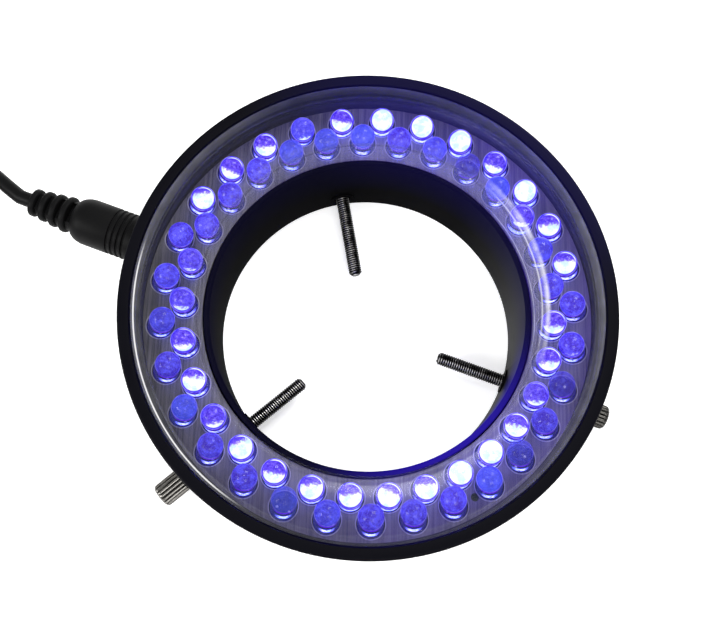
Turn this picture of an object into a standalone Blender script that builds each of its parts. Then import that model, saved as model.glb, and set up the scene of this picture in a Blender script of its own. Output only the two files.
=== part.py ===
"""Adjustable microscope ring light: sixty blue LEDs round a bore, clamped by three thumbscrews.

The ring lies on its back: +Z leaves the LED face and the bore's axis is the Z axis.
Lengths are in metres, written through MM. Every size of the ring grows from the bore outwards
and from the back face upwards, so a changed size carries its neighbours with it.
"""
import math

import bmesh
import bpy
from mathutils import Matrix, Vector

MM = 0.001

# Sides of the turned pieces
RING_SIDES = 48
LED_SIDES = 8
HOLE_SIDES = 8
ROUND_SIDES = 14
SHANK_SIDES = 12
DOME_BANDS = 2
FILLET_STEPS = 2

# Clearances
SEAT_GAP = 0.3 * MM
RUNNING_GAP = 0.3 * MM
CUT_OVERRUN = 1.0 * MM
WELD = 0.01 * MM

# Housing: a moulded trough round a bore tube
BORE_RADIUS = 31.5 * MM
BORE_WALL = 1.2 * MM
RIM_WALL = 2.3 * MM
LEDGE_WIDTH = 0.6 * MM
SHELF_WIDTH = 0.6 * MM
SHELF_DROP = 0.3 * MM
FLOOR_THICKNESS = 2.0 * MM
RIM_BAND = 7.0 * MM
BACK_TAPER = 2.6 * MM
TROUGH_TAPER = 1.0 * MM
RIM_CHAMFER = 0.5 * MM

# LEDs, five millimetre type, in two rows
LED_RADIUS = 2.5 * MM
LED_BODY = 6.2 * MM
LEDS_IN_ROW = 30
ROW_SPACING = 3.75 * MM
INNER_TILT = math.radians(3.0)
OUTER_TILT = math.radians(15.0)
LEG_SIDE = 0.5 * MM
LEG_OFFSET = 1.27 * MM
LEG_BITE = 0.7 * MM
FOOT_STANDOFF = 1.0 * MM
# The rows are soldered by hand and stray from the even pitch in two slow waves round the ring
OUTER_ROW_START = math.radians(4.9)
INNER_ROW_START = math.radians(-1.1)
STRAY_ONCE = math.radians(2.7)
STRAY_ONCE_PEAK = math.radians(242.0)
STRAY_TWICE = math.radians(1.2)
STRAY_TWICE_PEAK = math.radians(65.0)

# Reflector plate
PLATE_THICKNESS = 0.8 * MM
PLATE_ABOVE_FOOT = 1.3 * MM
PLATE_HOLE_GAP = 0.25 * MM
PLATE_BORDER = 0.5 * MM
LIP_STEP = 0.6 * MM
PILOT_RADIUS = 0.8 * MM
PILOT_OUTWARD = 1.45 * MM
PILOT_ANGLE = math.radians(301.0)

# Clear cover
COVER_TUBE_GAP = 0.25 * MM
COVER_INNER_WALL = 0.65 * MM
COVER_SKIRT_WALL = 1.3 * MM
COVER_TOP = 1.2 * MM
COVER_HEADROOM = 0.8 * MM
COVER_INNER_ROUND = 1.8 * MM
COVER_OUTER_ROUND = 0.5 * MM
SKIRT_RAISE = 3.1 * MM

# Circuit board and its resistors
BOARD_THICKNESS = 1.4 * MM
BOARD_EDGE_GAP = 0.5 * MM
RESISTOR_COUNT = 20
RESISTOR_LENGTH = 3.2 * MM
RESISTOR_WIDTH = 1.6 * MM
RESISTOR_HEIGHT = 0.6 * MM
RESISTOR_EDGE_INSET = 1.4 * MM
RESISTOR_JACK_GAP = 1.0 * MM

# Thumbscrews
SCREW_COUNT = 3
SCREW_START = math.radians(101.4)
SCREW_HEIGHT = 4.0 * MM
SCREW_RADIUS = 1.45 * MM
SCREW_REACH = 32.1 * MM
SCREW_IN_KNOB = 4.0 * MM
SCREW_TIP_LENGTH = 0.6 * MM
SCREW_TIP_RADIUS = 0.8 * MM
SCREW_BACKED_OFF = (0.0 * MM, 4.45 * MM, 3.4 * MM)
KNOB_RADIUS = 2.6 * MM
KNOB_LENGTH = 6.0 * MM
KNOB_ROUND = 0.9 * MM
KNOB_FLUTES = 18
FLUTE_DEPTH = 0.3 * MM
BOSS_RADIUS = 3.7 * MM
POST_RADIUS = 1.6 * MM
COLLAR_RADIUS = 2.6 * MM
COLLAR_PROUD = 0.4 * MM
SPOT_FACE_GAP = 0.4 * MM
SPOT_FACE_DEPTH = 0.6 * MM
INSERT_WALL = 0.75 * MM
INSERT_LENGTH = 5.7 * MM
INSERT_RECESS = 0.2 * MM

# Power jack on the underside of the board
JACK_ANGLE = math.radians(161.2)
JACK_HEIGHT = 11.6 * MM
JACK_BODY_WIDTH = 8.6 * MM
JACK_BODY_HEIGHT = 8.0 * MM
JACK_BODY_LENGTH = 9.6 * MM
JACK_REAR_WALL = 3.0 * MM
JACK_TUBE_GAP = 0.8 * MM
JACK_NOSE_RADIUS = 3.9 * MM
JACK_NOSE_ROOT = 0.5 * MM
JACK_NOSE_RECESS = 0.6 * MM
JACK_PIN_RADIUS = 1.05 * MM
JACK_PIN_LENGTH = 10.0 * MM
JACK_TAIL_WIDTH = 1.2 * MM
JACK_TAIL_THICKNESS = 0.8 * MM
JACK_TAIL_ABOVE_BOARD = 0.6 * MM
JACK_SPRING_WIDTH = 2.4 * MM
JACK_SPRING_LENGTH = 5.5 * MM
JACK_SPRING_THICKNESS = 0.3 * MM
JACK_SPRING_TAIL = 0.6 * MM

# Moulded plug: body, strain relief and contacts
PLUG_RADIUS = 5.05 * MM
PLUG_WALL_GAP = 0.4 * MM
PLUG_BODY_LENGTH = 18.8 * MM
PLUG_SHOULDER = 3.4 * MM
PLUG_SHOULDER_STEPS = 3
PLUG_END_RADIUS = 3.2 * MM
PLUG_FACE_CHAMFER = 0.4 * MM
PLUG_GROOVES = 4
PLUG_GROOVE_START = 5.6 * MM
PLUG_GROOVE_PITCH = 1.17 * MM
PLUG_GROOVE_WIDTH = 0.6 * MM
PLUG_GROOVE_DEPTH = 0.35 * MM
RELIEF_RIBS = 4
RELIEF_PITCH = 2.55 * MM
RELIEF_GAP = 1.15 * MM
RELIEF_FIRST_RADIUS = 3.95 * MM
RELIEF_LAST_RADIUS = 3.05 * MM
RELIEF_NOTCH = 0.7 * MM
RELIEF_SLOT_HALF_WIDTH = 2.2 * MM
SLEEVE_RADIUS = 2.75 * MM
SLEEVE_WALL = 0.4 * MM
SLEEVE_LENGTH = 9.5 * MM
SLEEVE_ROOT = 1.7 * MM
TIP_TUBE_WALL = 0.6 * MM
TIP_TUBE_RECESS = 0.3 * MM

# Lead: one cord from the ring's plug through a stored coil to a second plug
CORD_RADIUS = 1.6 * MM
CORD_POINT_SPACING = 6.4 * MM
ROUTE_STEPS = 24
CORD_BEVEL_STEPS = 2
COIL_BEVEL_STEPS = 1
FLOOR_GAP = 0.02 * MM
TIE_THICKNESS = 0.4 * MM
TIE_WIDTH = 2.5 * MM
TIE_AZIMUTH = math.radians(300.0)
TIE_CORNER_STEPS = 4
COIL_LAYERS = 4
COIL_TURNS = 8.25
COIL_LOOP_STEPS = 24
COIL_MEAN_RADIUS = 19.2 * MM
COIL_PITCH = 3.85 * MM
COIL_CENTRE = (-120.0 * MM, 21.8 * MM)
COIL_ENTRY = math.radians(90.0)
LEAD_ROUTE = (
    (-78.5 * MM, 27.9 * MM, 11.2 * MM),
    (-81.1 * MM, 30.0 * MM, 10.8 * MM),
    (-83.8 * MM, 32.2 * MM, 10.1 * MM),
    (-88.0 * MM, 35.6 * MM, 8.4 * MM),
    (-93.2 * MM, 39.2 * MM, 6.2 * MM),
    (-98.8 * MM, 42.2 * MM, 4.2 * MM),
    (-104.6 * MM, 44.1 * MM, 3.0 * MM),
    (-110.2 * MM, 44.9 * MM, 2.5 * MM),
)
TAIL_ROUTE = (
    (-143.1 * MM, 11.0 * MM, 12.6 * MM),
    (-142.9 * MM, 7.0 * MM, 11.2 * MM),
    (-142.6 * MM, 3.0 * MM, 9.4 * MM),
    (-142.3 * MM, -1.0 * MM, 7.6 * MM),
    (-142.1 * MM, -5.0 * MM, 6.1 * MM),
    (-142.0 * MM, -9.0 * MM, 5.3 * MM),
)
FAR_PLUG_END = (-142.0 * MM, -16.0 * MM)

# Radii that follow, from the bore outwards
TUBE_RADIUS = BORE_RADIUS + BORE_WALL
COVER_INNER_RADIUS = TUBE_RADIUS + COVER_TUBE_GAP
COVER_WALL_RADIUS = COVER_INNER_RADIUS + COVER_INNER_WALL
INNER_ROW_RADIUS = COVER_WALL_RADIUS + SEAT_GAP + LED_RADIUS
OUTER_ROW_RADIUS = INNER_ROW_RADIUS + ROW_SPACING
PLATE_BELOW_DOME = LED_BODY - PLATE_ABOVE_FOOT
OUTER_HOLE_EDGE = (OUTER_ROW_RADIUS + (PLATE_BELOW_DOME - PLATE_THICKNESS) * math.tan(OUTER_TILT)
                   + (LED_RADIUS + PLATE_HOLE_GAP) / math.cos(OUTER_TILT))
PLATE_RADIUS = OUTER_HOLE_EDGE + PLATE_BORDER + PLATE_THICKNESS * math.tan(OUTER_TILT)
TROUGH_RADIUS = PLATE_RADIUS + SEAT_GAP
SHELF_RADIUS = TROUGH_RADIUS - SHELF_WIDTH
RIM_INNER_RADIUS = TROUGH_RADIUS + LEDGE_WIDTH
OUTER_RADIUS = RIM_INNER_RADIUS + RIM_WALL
BACK_RADIUS = OUTER_RADIUS - BACK_TAPER
COVER_RADIUS = RIM_INNER_RADIUS - SEAT_GAP
MIDDLE_RADIUS = (TUBE_RADIUS + SHELF_RADIUS) / 2
PILOT_CENTRE_RADIUS = OUTER_ROW_RADIUS + PILOT_OUTWARD

# Heights that follow, from the back face upwards
JACK_TOP = JACK_HEIGHT + JACK_BODY_HEIGHT / 2
BOARD_BOTTOM = JACK_TOP + SEAT_GAP
BOARD_TOP = BOARD_BOTTOM + BOARD_THICKNESS
DOME_HEIGHT = BOARD_TOP + FOOT_STANDOFF + LED_BODY
PLATE_BOTTOM = DOME_HEIGHT - PLATE_BELOW_DOME
PLATE_TOP = PLATE_BOTTOM + PLATE_THICKNESS
LIP_HEIGHT = PLATE_TOP + LIP_STEP
SHELF_HEIGHT = PLATE_BOTTOM - SHELF_DROP
SKIRT_BOTTOM = PLATE_TOP + SKIRT_RAISE
LEDGE_HEIGHT = SKIRT_BOTTOM - SEAT_GAP
COVER_UNDERSIDE = DOME_HEIGHT + LED_RADIUS + COVER_HEADROOM
RIM_HEIGHT = COVER_UNDERSIDE + COVER_TOP
TAPER_TOP = RIM_HEIGHT - RIM_BAND

# Thumbscrew seat and hole
SEAT_POSITION = BACK_RADIUS - SPOT_FACE_DEPTH
KNOB_FACE = SEAT_POSITION + RUNNING_GAP
SCREW_HOLE_RADIUS = SCREW_RADIUS + RUNNING_GAP
INSERT_RADIUS = SCREW_HOLE_RADIUS + INSERT_WALL
INSERT_OUTER_END = SEAT_POSITION - INSERT_RECESS
INSERT_INNER_END = INSERT_OUTER_END - INSERT_LENGTH

# Jack and plug positions along the jack's axis
SOCKET_RADIUS = SLEEVE_RADIUS + SEAT_GAP
JACK_REAR = TUBE_RADIUS + JACK_TUBE_GAP
JACK_FRONT = JACK_REAR + JACK_BODY_LENGTH
SOCKET_END = JACK_REAR + JACK_REAR_WALL
WALL_SLOPE = BACK_TAPER / TAPER_TOP
PLUG_TOP_HEIGHT = JACK_HEIGHT + PLUG_RADIUS
PLUG_FACE = BACK_RADIUS + PLUG_TOP_HEIGHT * WALL_SLOPE + PLUG_WALL_GAP
JACK_NOSE_END = BACK_RADIUS + (JACK_HEIGHT - JACK_NOSE_RADIUS) * WALL_SLOPE - JACK_NOSE_RECESS
PIN_REAR = SOCKET_END - SEAT_GAP - JACK_TAIL_THICKNESS
RELIEF_LENGTH = RELIEF_RIBS * RELIEF_PITCH
PLUG_LENGTH = PLUG_BODY_LENGTH + RELIEF_LENGTH

# Coil heights and radii
COIL_BOTTOM = FLOOR_GAP + TIE_THICKNESS + SEAT_GAP
COIL_SPREAD = COIL_PITCH * COIL_TURNS / COIL_LAYERS
COIL_OUTER = COIL_MEAN_RADIUS + COIL_SPREAD / 2
CORD_DIAMETER = 2 * CORD_RADIUS
LAYER_RISE = CORD_DIAMETER + 2 * SEAT_GAP
FAR_PLUG_HEIGHT = PLUG_RADIUS + FLOOR_GAP


def clear_scene():
    for item in list(bpy.data.objects):
        bpy.data.objects.remove(item, do_unlink=True)


def new_collection(name):
    group = bpy.data.collections.new(name)
    bpy.context.scene.collection.children.link(group)
    return group


def new_material(name, colour, roughness, metallic=0.0, alpha=1.0):
    material = bpy.data.materials.new(name)
    material.use_nodes = True
    shader = material.node_tree.nodes["Principled BSDF"]
    shader.inputs["Base Color"].default_value = (*colour, 1.0)
    shader.inputs["Roughness"].default_value = roughness
    shader.inputs["Metallic"].default_value = metallic
    shader.inputs["Alpha"].default_value = alpha
    return material


def new_object(name, data, group, parent=None):
    item = bpy.data.objects.new(name, data)
    group.objects.link(item)
    item.parent = parent
    if group is CUTTERS:
        item.hide_render = True
        item.display_type = "WIRE"
    return item


def turned(name, profile, sides, group, closed=False, parent=None):
    """A profile of (radius, height) points turned round the local Z axis."""
    mesh = bpy.data.meshes.new(name)
    edges = [(i, i + 1) for i in range(len(profile) - 1)]
    if closed:
        edges.append((len(profile) - 1, 0))
    mesh.from_pydata([(radius, 0, height) for radius, height in profile], edges, [])
    item = new_object(name, mesh, group, parent)
    turn = item.modifiers.new("turn", "SCREW")
    turn.axis = "Z"
    turn.angle = math.tau
    turn.screw_offset = 0
    turn.steps = turn.render_steps = sides
    turn.use_merge_vertices = True
    turn.merge_threshold = WELD
    return item


def cylinder(name, radius, low, high, sides, group, parent=None):
    return turned(name, [(0, high), (radius, high), (radius, low), (0, low)], sides, group, parent=parent)


def box(name, low, high, group, parent=None):
    form = bmesh.new()
    bmesh.ops.create_cube(form, size=1.0)
    size = Vector(high) - Vector(low)
    middle = (Vector(high) + Vector(low)) / 2
    bmesh.ops.scale(form, vec=size, verts=form.verts)
    bmesh.ops.translate(form, vec=middle, verts=form.verts)
    mesh = bpy.data.meshes.new(name)
    form.to_mesh(mesh)
    form.free()
    return new_object(name, mesh, group, parent)


def evaluated_mesh(item):
    depsgraph = bpy.context.evaluated_depsgraph_get()
    depsgraph.update()
    return bpy.data.meshes.new_from_object(item.evaluated_get(depsgraph))


def join_copies(name, source, placements, group):
    """One object that holds a copy of the source's mesh at each placement."""
    single = evaluated_mesh(source)
    form = bmesh.new()
    for placement in placements:
        start = len(form.verts)
        form.from_mesh(single)
        form.verts.ensure_lookup_table()
        bmesh.ops.transform(form, matrix=placement, verts=form.verts[start:])
    mesh = bpy.data.meshes.new(name)
    form.to_mesh(mesh)
    form.free()
    bpy.data.objects.remove(source, do_unlink=True)
    return new_object(name, mesh, group)


def cut(item, other, operation="DIFFERENCE"):
    change = item.modifiers.new(other.name, "BOOLEAN")
    change.operation = operation
    change.solver = "EXACT"
    change.object = other


def finish(item, material, sharp_angle=math.radians(35.0)):
    """Apply the modifiers, shade the round faces smooth and give the piece its material."""
    mesh = evaluated_mesh(item)
    mesh.name = item.name
    item.modifiers.clear()
    item.data = mesh
    mesh.shade_smooth()
    mesh.set_sharp_from_angle(angle=sharp_angle)
    mesh.materials.clear()
    mesh.materials.append(material)
    return item


def copy_of(name, source, parent=None):
    """A second object that shares the source's mesh."""
    return new_object(name, source.data, PIECES, parent)


def radial_axis(name, angle, height):
    """An empty on the ring's axis whose local Z runs outwards at the given angle."""
    axis = new_object(name, None, GUIDES)
    axis.location = (0, 0, height)
    axis.rotation_euler = (0, math.pi / 2, angle)
    return axis


def arc(centre, radius, start, end, steps):
    """Points on an arc of a profile; angles are measured from +radius towards +height."""
    turns = [start + (end - start) * i / steps for i in range(steps + 1)]
    return [(centre[0] + radius * math.cos(t), centre[1] + radius * math.sin(t)) for t in turns]


def screw_angles():
    return [SCREW_START + math.tau * i / SCREW_COUNT for i in range(SCREW_COUNT)]


def led_angle(start, index):
    even = math.tau * index / LEDS_IN_ROW
    stray = STRAY_ONCE * math.cos(even - STRAY_ONCE_PEAK)
    stray += STRAY_TWICE * math.cos(2 * (even - STRAY_TWICE_PEAK))
    return start + even + stray


def led_placements():
    """Each LED's dome centre and lean: +Z of the placement is the LED's own axis."""
    places = []
    rows = ((OUTER_ROW_START, OUTER_ROW_RADIUS, OUTER_TILT), (INNER_ROW_START, INNER_ROW_RADIUS, INNER_TILT))
    for start, radius, tilt in rows:
        for index in range(LEDS_IN_ROW):
            spot = Matrix.Rotation(led_angle(start, index), 4, "Z")
            spot @= Matrix.Translation((radius, 0, DOME_HEIGHT))
            places.append(spot @ Matrix.Rotation(-tilt, 4, "Y"))
    return places


def make_housing():
    profile = [
        (OUTER_RADIUS - RIM_CHAMFER, RIM_HEIGHT),
        (OUTER_RADIUS, RIM_HEIGHT - RIM_CHAMFER),
        (OUTER_RADIUS, TAPER_TOP),
        (BACK_RADIUS, RIM_CHAMFER),
        (BACK_RADIUS - RIM_CHAMFER, 0),
        (BORE_RADIUS + RIM_CHAMFER, 0),
        (BORE_RADIUS, RIM_CHAMFER),
        (BORE_RADIUS, LIP_HEIGHT),
        (TUBE_RADIUS, LIP_HEIGHT),
        (TUBE_RADIUS, FLOOR_THICKNESS),
        (SHELF_RADIUS - TROUGH_TAPER, FLOOR_THICKNESS),
        (SHELF_RADIUS, SHELF_HEIGHT),
        (TROUGH_RADIUS, SHELF_HEIGHT),
        (TROUGH_RADIUS, LEDGE_HEIGHT),
        (RIM_INNER_RADIUS, LEDGE_HEIGHT),
        (RIM_INNER_RADIUS, RIM_HEIGHT),
    ]
    housing = turned("housing", profile, RING_SIDES, PIECES, closed=True)
    spokes = [Matrix.Rotation(angle, 4, "Z") for angle in screw_angles()]
    lay_out = Matrix.Translation((0, 0, SCREW_HEIGHT)) @ Matrix.Rotation(math.pi / 2, 4, "Y")
    wall_bite = (RIM_WALL + LEDGE_WIDTH) / 4
    boss = cylinder("boss", BOSS_RADIUS, TUBE_RADIUS - BORE_WALL / 4,
                    SHELF_RADIUS - TROUGH_TAPER + wall_bite, ROUND_SIDES, CUTTERS)
    bosses = join_copies("screw_bosses", boss, [spoke @ lay_out for spoke in spokes], CUTTERS)
    collar = cylinder("collar", COLLAR_RADIUS, BORE_RADIUS - COLLAR_PROUD, BORE_RADIUS + BORE_WALL / 2,
                      ROUND_SIDES, CUTTERS)
    collars = join_copies("screw_collars", collar, [spoke @ lay_out for spoke in spokes], CUTTERS)
    post = cylinder("post", POST_RADIUS, SCREW_HEIGHT + BOSS_RADIUS / 2, BOARD_BOTTOM - SEAT_GAP,
                    ROUND_SIDES, CUTTERS)
    stand = Matrix.Translation((MIDDLE_RADIUS, 0, 0))
    posts = join_copies("board_posts", post, [spoke @ stand for spoke in spokes], CUTTERS)
    step = INSERT_INNER_END - SEAT_GAP
    pocket = INSERT_RADIUS + SEAT_GAP
    spot_face = KNOB_RADIUS + SPOT_FACE_GAP
    outside = OUTER_RADIUS + CUT_OVERRUN
    drill = turned("drill", [
        (0, outside), (spot_face, outside), (spot_face, SEAT_POSITION), (pocket, SEAT_POSITION),
        (pocket, step), (SCREW_HOLE_RADIUS, step), (SCREW_HOLE_RADIUS, BORE_RADIUS - CUT_OVERRUN),
        (0, BORE_RADIUS - CUT_OVERRUN),
    ], ROUND_SIDES, CUTTERS)
    drills = join_copies("screw_holes", drill, [spoke @ lay_out for spoke in spokes], CUTTERS)
    jack_axis = radial_axis("jack_hole_axis", JACK_ANGLE, JACK_HEIGHT)
    jack_hole = cylinder("jack_hole", JACK_NOSE_RADIUS + SEAT_GAP, JACK_FRONT - CUT_OVERRUN,
                         outside, ROUND_SIDES, CUTTERS, jack_axis)
    cut(housing, bosses, "UNION")
    cut(housing, collars, "UNION")
    cut(housing, posts, "UNION")
    cut(housing, drills)
    cut(housing, jack_hole)
    return finish(housing, BLACK_PLASTIC)


def make_board():
    inner = TUBE_RADIUS + BOARD_EDGE_GAP
    outer = SHELF_RADIUS - BOARD_EDGE_GAP
    board = turned("led_board", [(outer, BOARD_TOP), (outer, BOARD_BOTTOM), (inner, BOARD_BOTTOM),
                                 (inner, BOARD_TOP)], RING_SIDES, PIECES, closed=True)
    places = led_placements()
    leg_places = []
    foot = Matrix.Translation((0, 0, -LED_BODY))
    for place in places:
        spot = (place @ foot).translation
        angle = math.atan2(spot.y, spot.x)
        for side in (-1, 1):
            leg_places.append(Matrix.Translation((spot.x, spot.y, 0)) @ Matrix.Rotation(angle, 4, "Z")
                              @ Matrix.Translation((0, side * LEG_OFFSET, 0)))
    half = LEG_SIDE / 2
    leg = box("leg", (-half, -half, BOARD_TOP - LEG_BITE),
              (half, half, BOARD_TOP + FOOT_STANDOFF + LEG_BITE), CUTTERS)
    legs = join_copies("led_legs", leg, leg_places, CUTTERS)
    dome = arc((0, 0), LED_RADIUS, math.pi / 2, 0, DOME_BANDS)
    dome[0] = (0, LED_RADIUS)
    led = turned("led", dome + [(LED_RADIUS, -LED_BODY), (0, -LED_BODY)], LED_SIDES, CUTTERS)
    leds = join_copies("leds", led, places, CUTTERS)
    jack_axis = radial_axis("board_slot_axis", JACK_ANGLE, 0)
    jack_axis.rotation_euler = (0, 0, JACK_ANGLE)
    slot_low = BOARD_BOTTOM - CUT_OVERRUN
    slot_high = BOARD_TOP + CUT_OVERRUN
    half_slot = JACK_TAIL_WIDTH / 2 + SEAT_GAP
    pin_slot = box("pin_slot", (PIN_REAR - SEAT_GAP, -half_slot, slot_low),
                   (PIN_REAR + JACK_TAIL_THICKNESS + SEAT_GAP, half_slot, slot_high), CUTTERS, jack_axis)
    spring_start = SOCKET_END + JACK_SPRING_TAIL
    spring_slot = box("spring_slot", (spring_start - SEAT_GAP, -half_slot, slot_low),
                      (spring_start + JACK_SPRING_TAIL + SEAT_GAP, half_slot, slot_high), CUTTERS,
                      jack_axis)
    cut(board, pin_slot)
    cut(board, spring_slot)
    cut(board, legs, "UNION")
    cut(board, leds, "UNION")
    return finish(board, BOARD_GREEN)


def make_resistors():
    """The resistors lie evenly round the board's edge, on the arc that the jack leaves free."""
    radius = SHELF_RADIUS - BOARD_EDGE_GAP - RESISTOR_EDGE_INSET
    half_width = RESISTOR_WIDTH / 2
    half_length = RESISTOR_LENGTH / 2
    first = box("resistor_01", (-half_width, -half_length, -RESISTOR_HEIGHT), (half_width, half_length, 0),
                PIECES)
    finish(first, RESISTOR_BLACK)
    beside_jack = JACK_BODY_WIDTH / 2 + RESISTOR_JACK_GAP + half_length
    clear_angle = math.asin(beside_jack / radius)
    pitch = (math.tau - 2 * clear_angle) / (RESISTOR_COUNT - 1)
    for index in range(RESISTOR_COUNT):
        chip = first if index == 0 else copy_of(f"resistor_{index + 1:02d}", first)
        angle = JACK_ANGLE + clear_angle + pitch * index
        chip.location = (radius * math.cos(angle), radius * math.sin(angle), BOARD_BOTTOM - SEAT_GAP)
        chip.rotation_euler = (0, 0, angle)


def make_plate():
    plate = turned("reflector_plate", [
        (PLATE_RADIUS, PLATE_TOP), (PLATE_RADIUS, PLATE_BOTTOM),
        (COVER_INNER_RADIUS, PLATE_BOTTOM), (COVER_INNER_RADIUS, PLATE_TOP),
    ], RING_SIDES, PIECES, closed=True)
    flat_to_corner = 1 / math.cos(math.pi / HOLE_SIDES)
    punch = cylinder("punch", LED_RADIUS + PLATE_HOLE_GAP * flat_to_corner, -LED_BODY, LED_RADIUS,
                     HOLE_SIDES, CUTTERS)
    punches = join_copies("led_holes", punch, led_placements(), CUTTERS)
    pilot = cylinder("pilot_hole", PILOT_RADIUS, PLATE_BOTTOM - CUT_OVERRUN, PLATE_TOP + CUT_OVERRUN,
                     HOLE_SIDES, CUTTERS)
    pilot.location = (PILOT_CENTRE_RADIUS * math.cos(PILOT_ANGLE),
                      PILOT_CENTRE_RADIUS * math.sin(PILOT_ANGLE), 0)
    cut(plate, punches)
    cut(plate, pilot)
    return finish(plate, BRUSHED_ALUMINIUM)


def make_cover():
    foot = PLATE_TOP + SEAT_GAP
    skirt_inside = COVER_RADIUS - COVER_SKIRT_WALL
    inner_centre = (COVER_INNER_RADIUS + COVER_INNER_ROUND, RIM_HEIGHT - COVER_INNER_ROUND)
    outer_centre = (COVER_RADIUS - COVER_OUTER_ROUND, RIM_HEIGHT - COVER_OUTER_ROUND)
    inside_round = COVER_INNER_ROUND - COVER_INNER_WALL
    inside_centre = (COVER_WALL_RADIUS + inside_round, COVER_UNDERSIDE - inside_round)
    profile = arc(outer_centre, COVER_OUTER_ROUND, math.pi / 2, 0, 1)
    profile += [(COVER_RADIUS, SKIRT_BOTTOM), (skirt_inside, SKIRT_BOTTOM), (skirt_inside, COVER_UNDERSIDE)]
    profile += arc(inside_centre, inside_round, math.pi / 2, math.pi, FILLET_STEPS)
    profile += [(COVER_WALL_RADIUS, foot), (COVER_INNER_RADIUS, foot)]
    profile += arc(inner_centre, COVER_INNER_ROUND, math.pi, math.pi / 2, FILLET_STEPS)
    cover = turned("clear_cover", profile, RING_SIDES, PIECES, closed=True)
    return finish(cover, CLEAR_PLASTIC)


def fluted_knob(name, parent):
    """A loft from a fluted section to a plain round end, bored for the screw."""
    corners = 2 * KNOB_FLUTES
    hollow_share = 1 - FLUTE_DEPTH / KNOB_RADIUS
    end_radius = KNOB_RADIUS - KNOB_ROUND
    body_end = KNOB_LENGTH - KNOB_ROUND
    form = bmesh.new()
    rings = []
    for height, fluted in ((0, True), (body_end, True), (KNOB_LENGTH, False)):
        ring = []
        for i in range(corners):
            radius = KNOB_RADIUS * (hollow_share if i % 2 else 1) if fluted else end_radius
            turn = math.tau * i / corners
            ring.append(form.verts.new((radius * math.cos(turn), radius * math.sin(turn), height)))
        rings.append(ring)
    for low, high in zip(rings, rings[1:]):
        for i in range(corners):
            j = (i + 1) % corners
            form.faces.new((low[i], low[j], high[j], high[i]))
    form.faces.new(reversed(rings[0]))
    form.faces.new(rings[-1])
    mesh = bpy.data.meshes.new(name)
    form.to_mesh(mesh)
    form.free()
    knob = new_object(name, mesh, PIECES, parent)
    bore = cylinder("knob_bore", SCREW_HOLE_RADIUS, -CUT_OVERRUN, SCREW_IN_KNOB + SEAT_GAP, SHANK_SIDES,
                    CUTTERS, parent)
    cut(knob, bore)
    return finish(knob, BRIGHT_STEEL)


def make_thumbscrews():
    for index, angle in enumerate(screw_angles()):
        number = index + 1
        axis = radial_axis(f"screw_axis_{number}", angle, SCREW_HEIGHT)
        face = KNOB_FACE + SCREW_BACKED_OFF[index]
        if index == 0:
            tip_cone = -SCREW_REACH + SCREW_TIP_LENGTH
            shank = turned("screw_shank_1", [
                (0, SCREW_IN_KNOB), (SCREW_RADIUS, SCREW_IN_KNOB), (SCREW_RADIUS, tip_cone),
                (SCREW_TIP_RADIUS, -SCREW_REACH), (0, -SCREW_REACH),
            ], SHANK_SIDES, PIECES, parent=axis)
            finish(shank, DARK_STEEL)
            knob = fluted_knob("knurled_knob_1", axis)
            insert = turned("threaded_insert_1", [
                (INSERT_RADIUS, INSERT_OUTER_END), (INSERT_RADIUS, INSERT_INNER_END),
                (SCREW_HOLE_RADIUS, INSERT_INNER_END), (SCREW_HOLE_RADIUS, INSERT_OUTER_END),
            ], ROUND_SIDES, PIECES, closed=True, parent=axis)
            finish(insert, BRASS)
            first = (shank, knob, insert)
        else:
            shank = copy_of(f"screw_shank_{number}", first[0], axis)
            knob = copy_of(f"knurled_knob_{number}", first[1], axis)
            copy_of(f"threaded_insert_{number}", first[2], axis)
        shank.location = (0, 0, face)
        knob.location = (0, 0, face)


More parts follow.
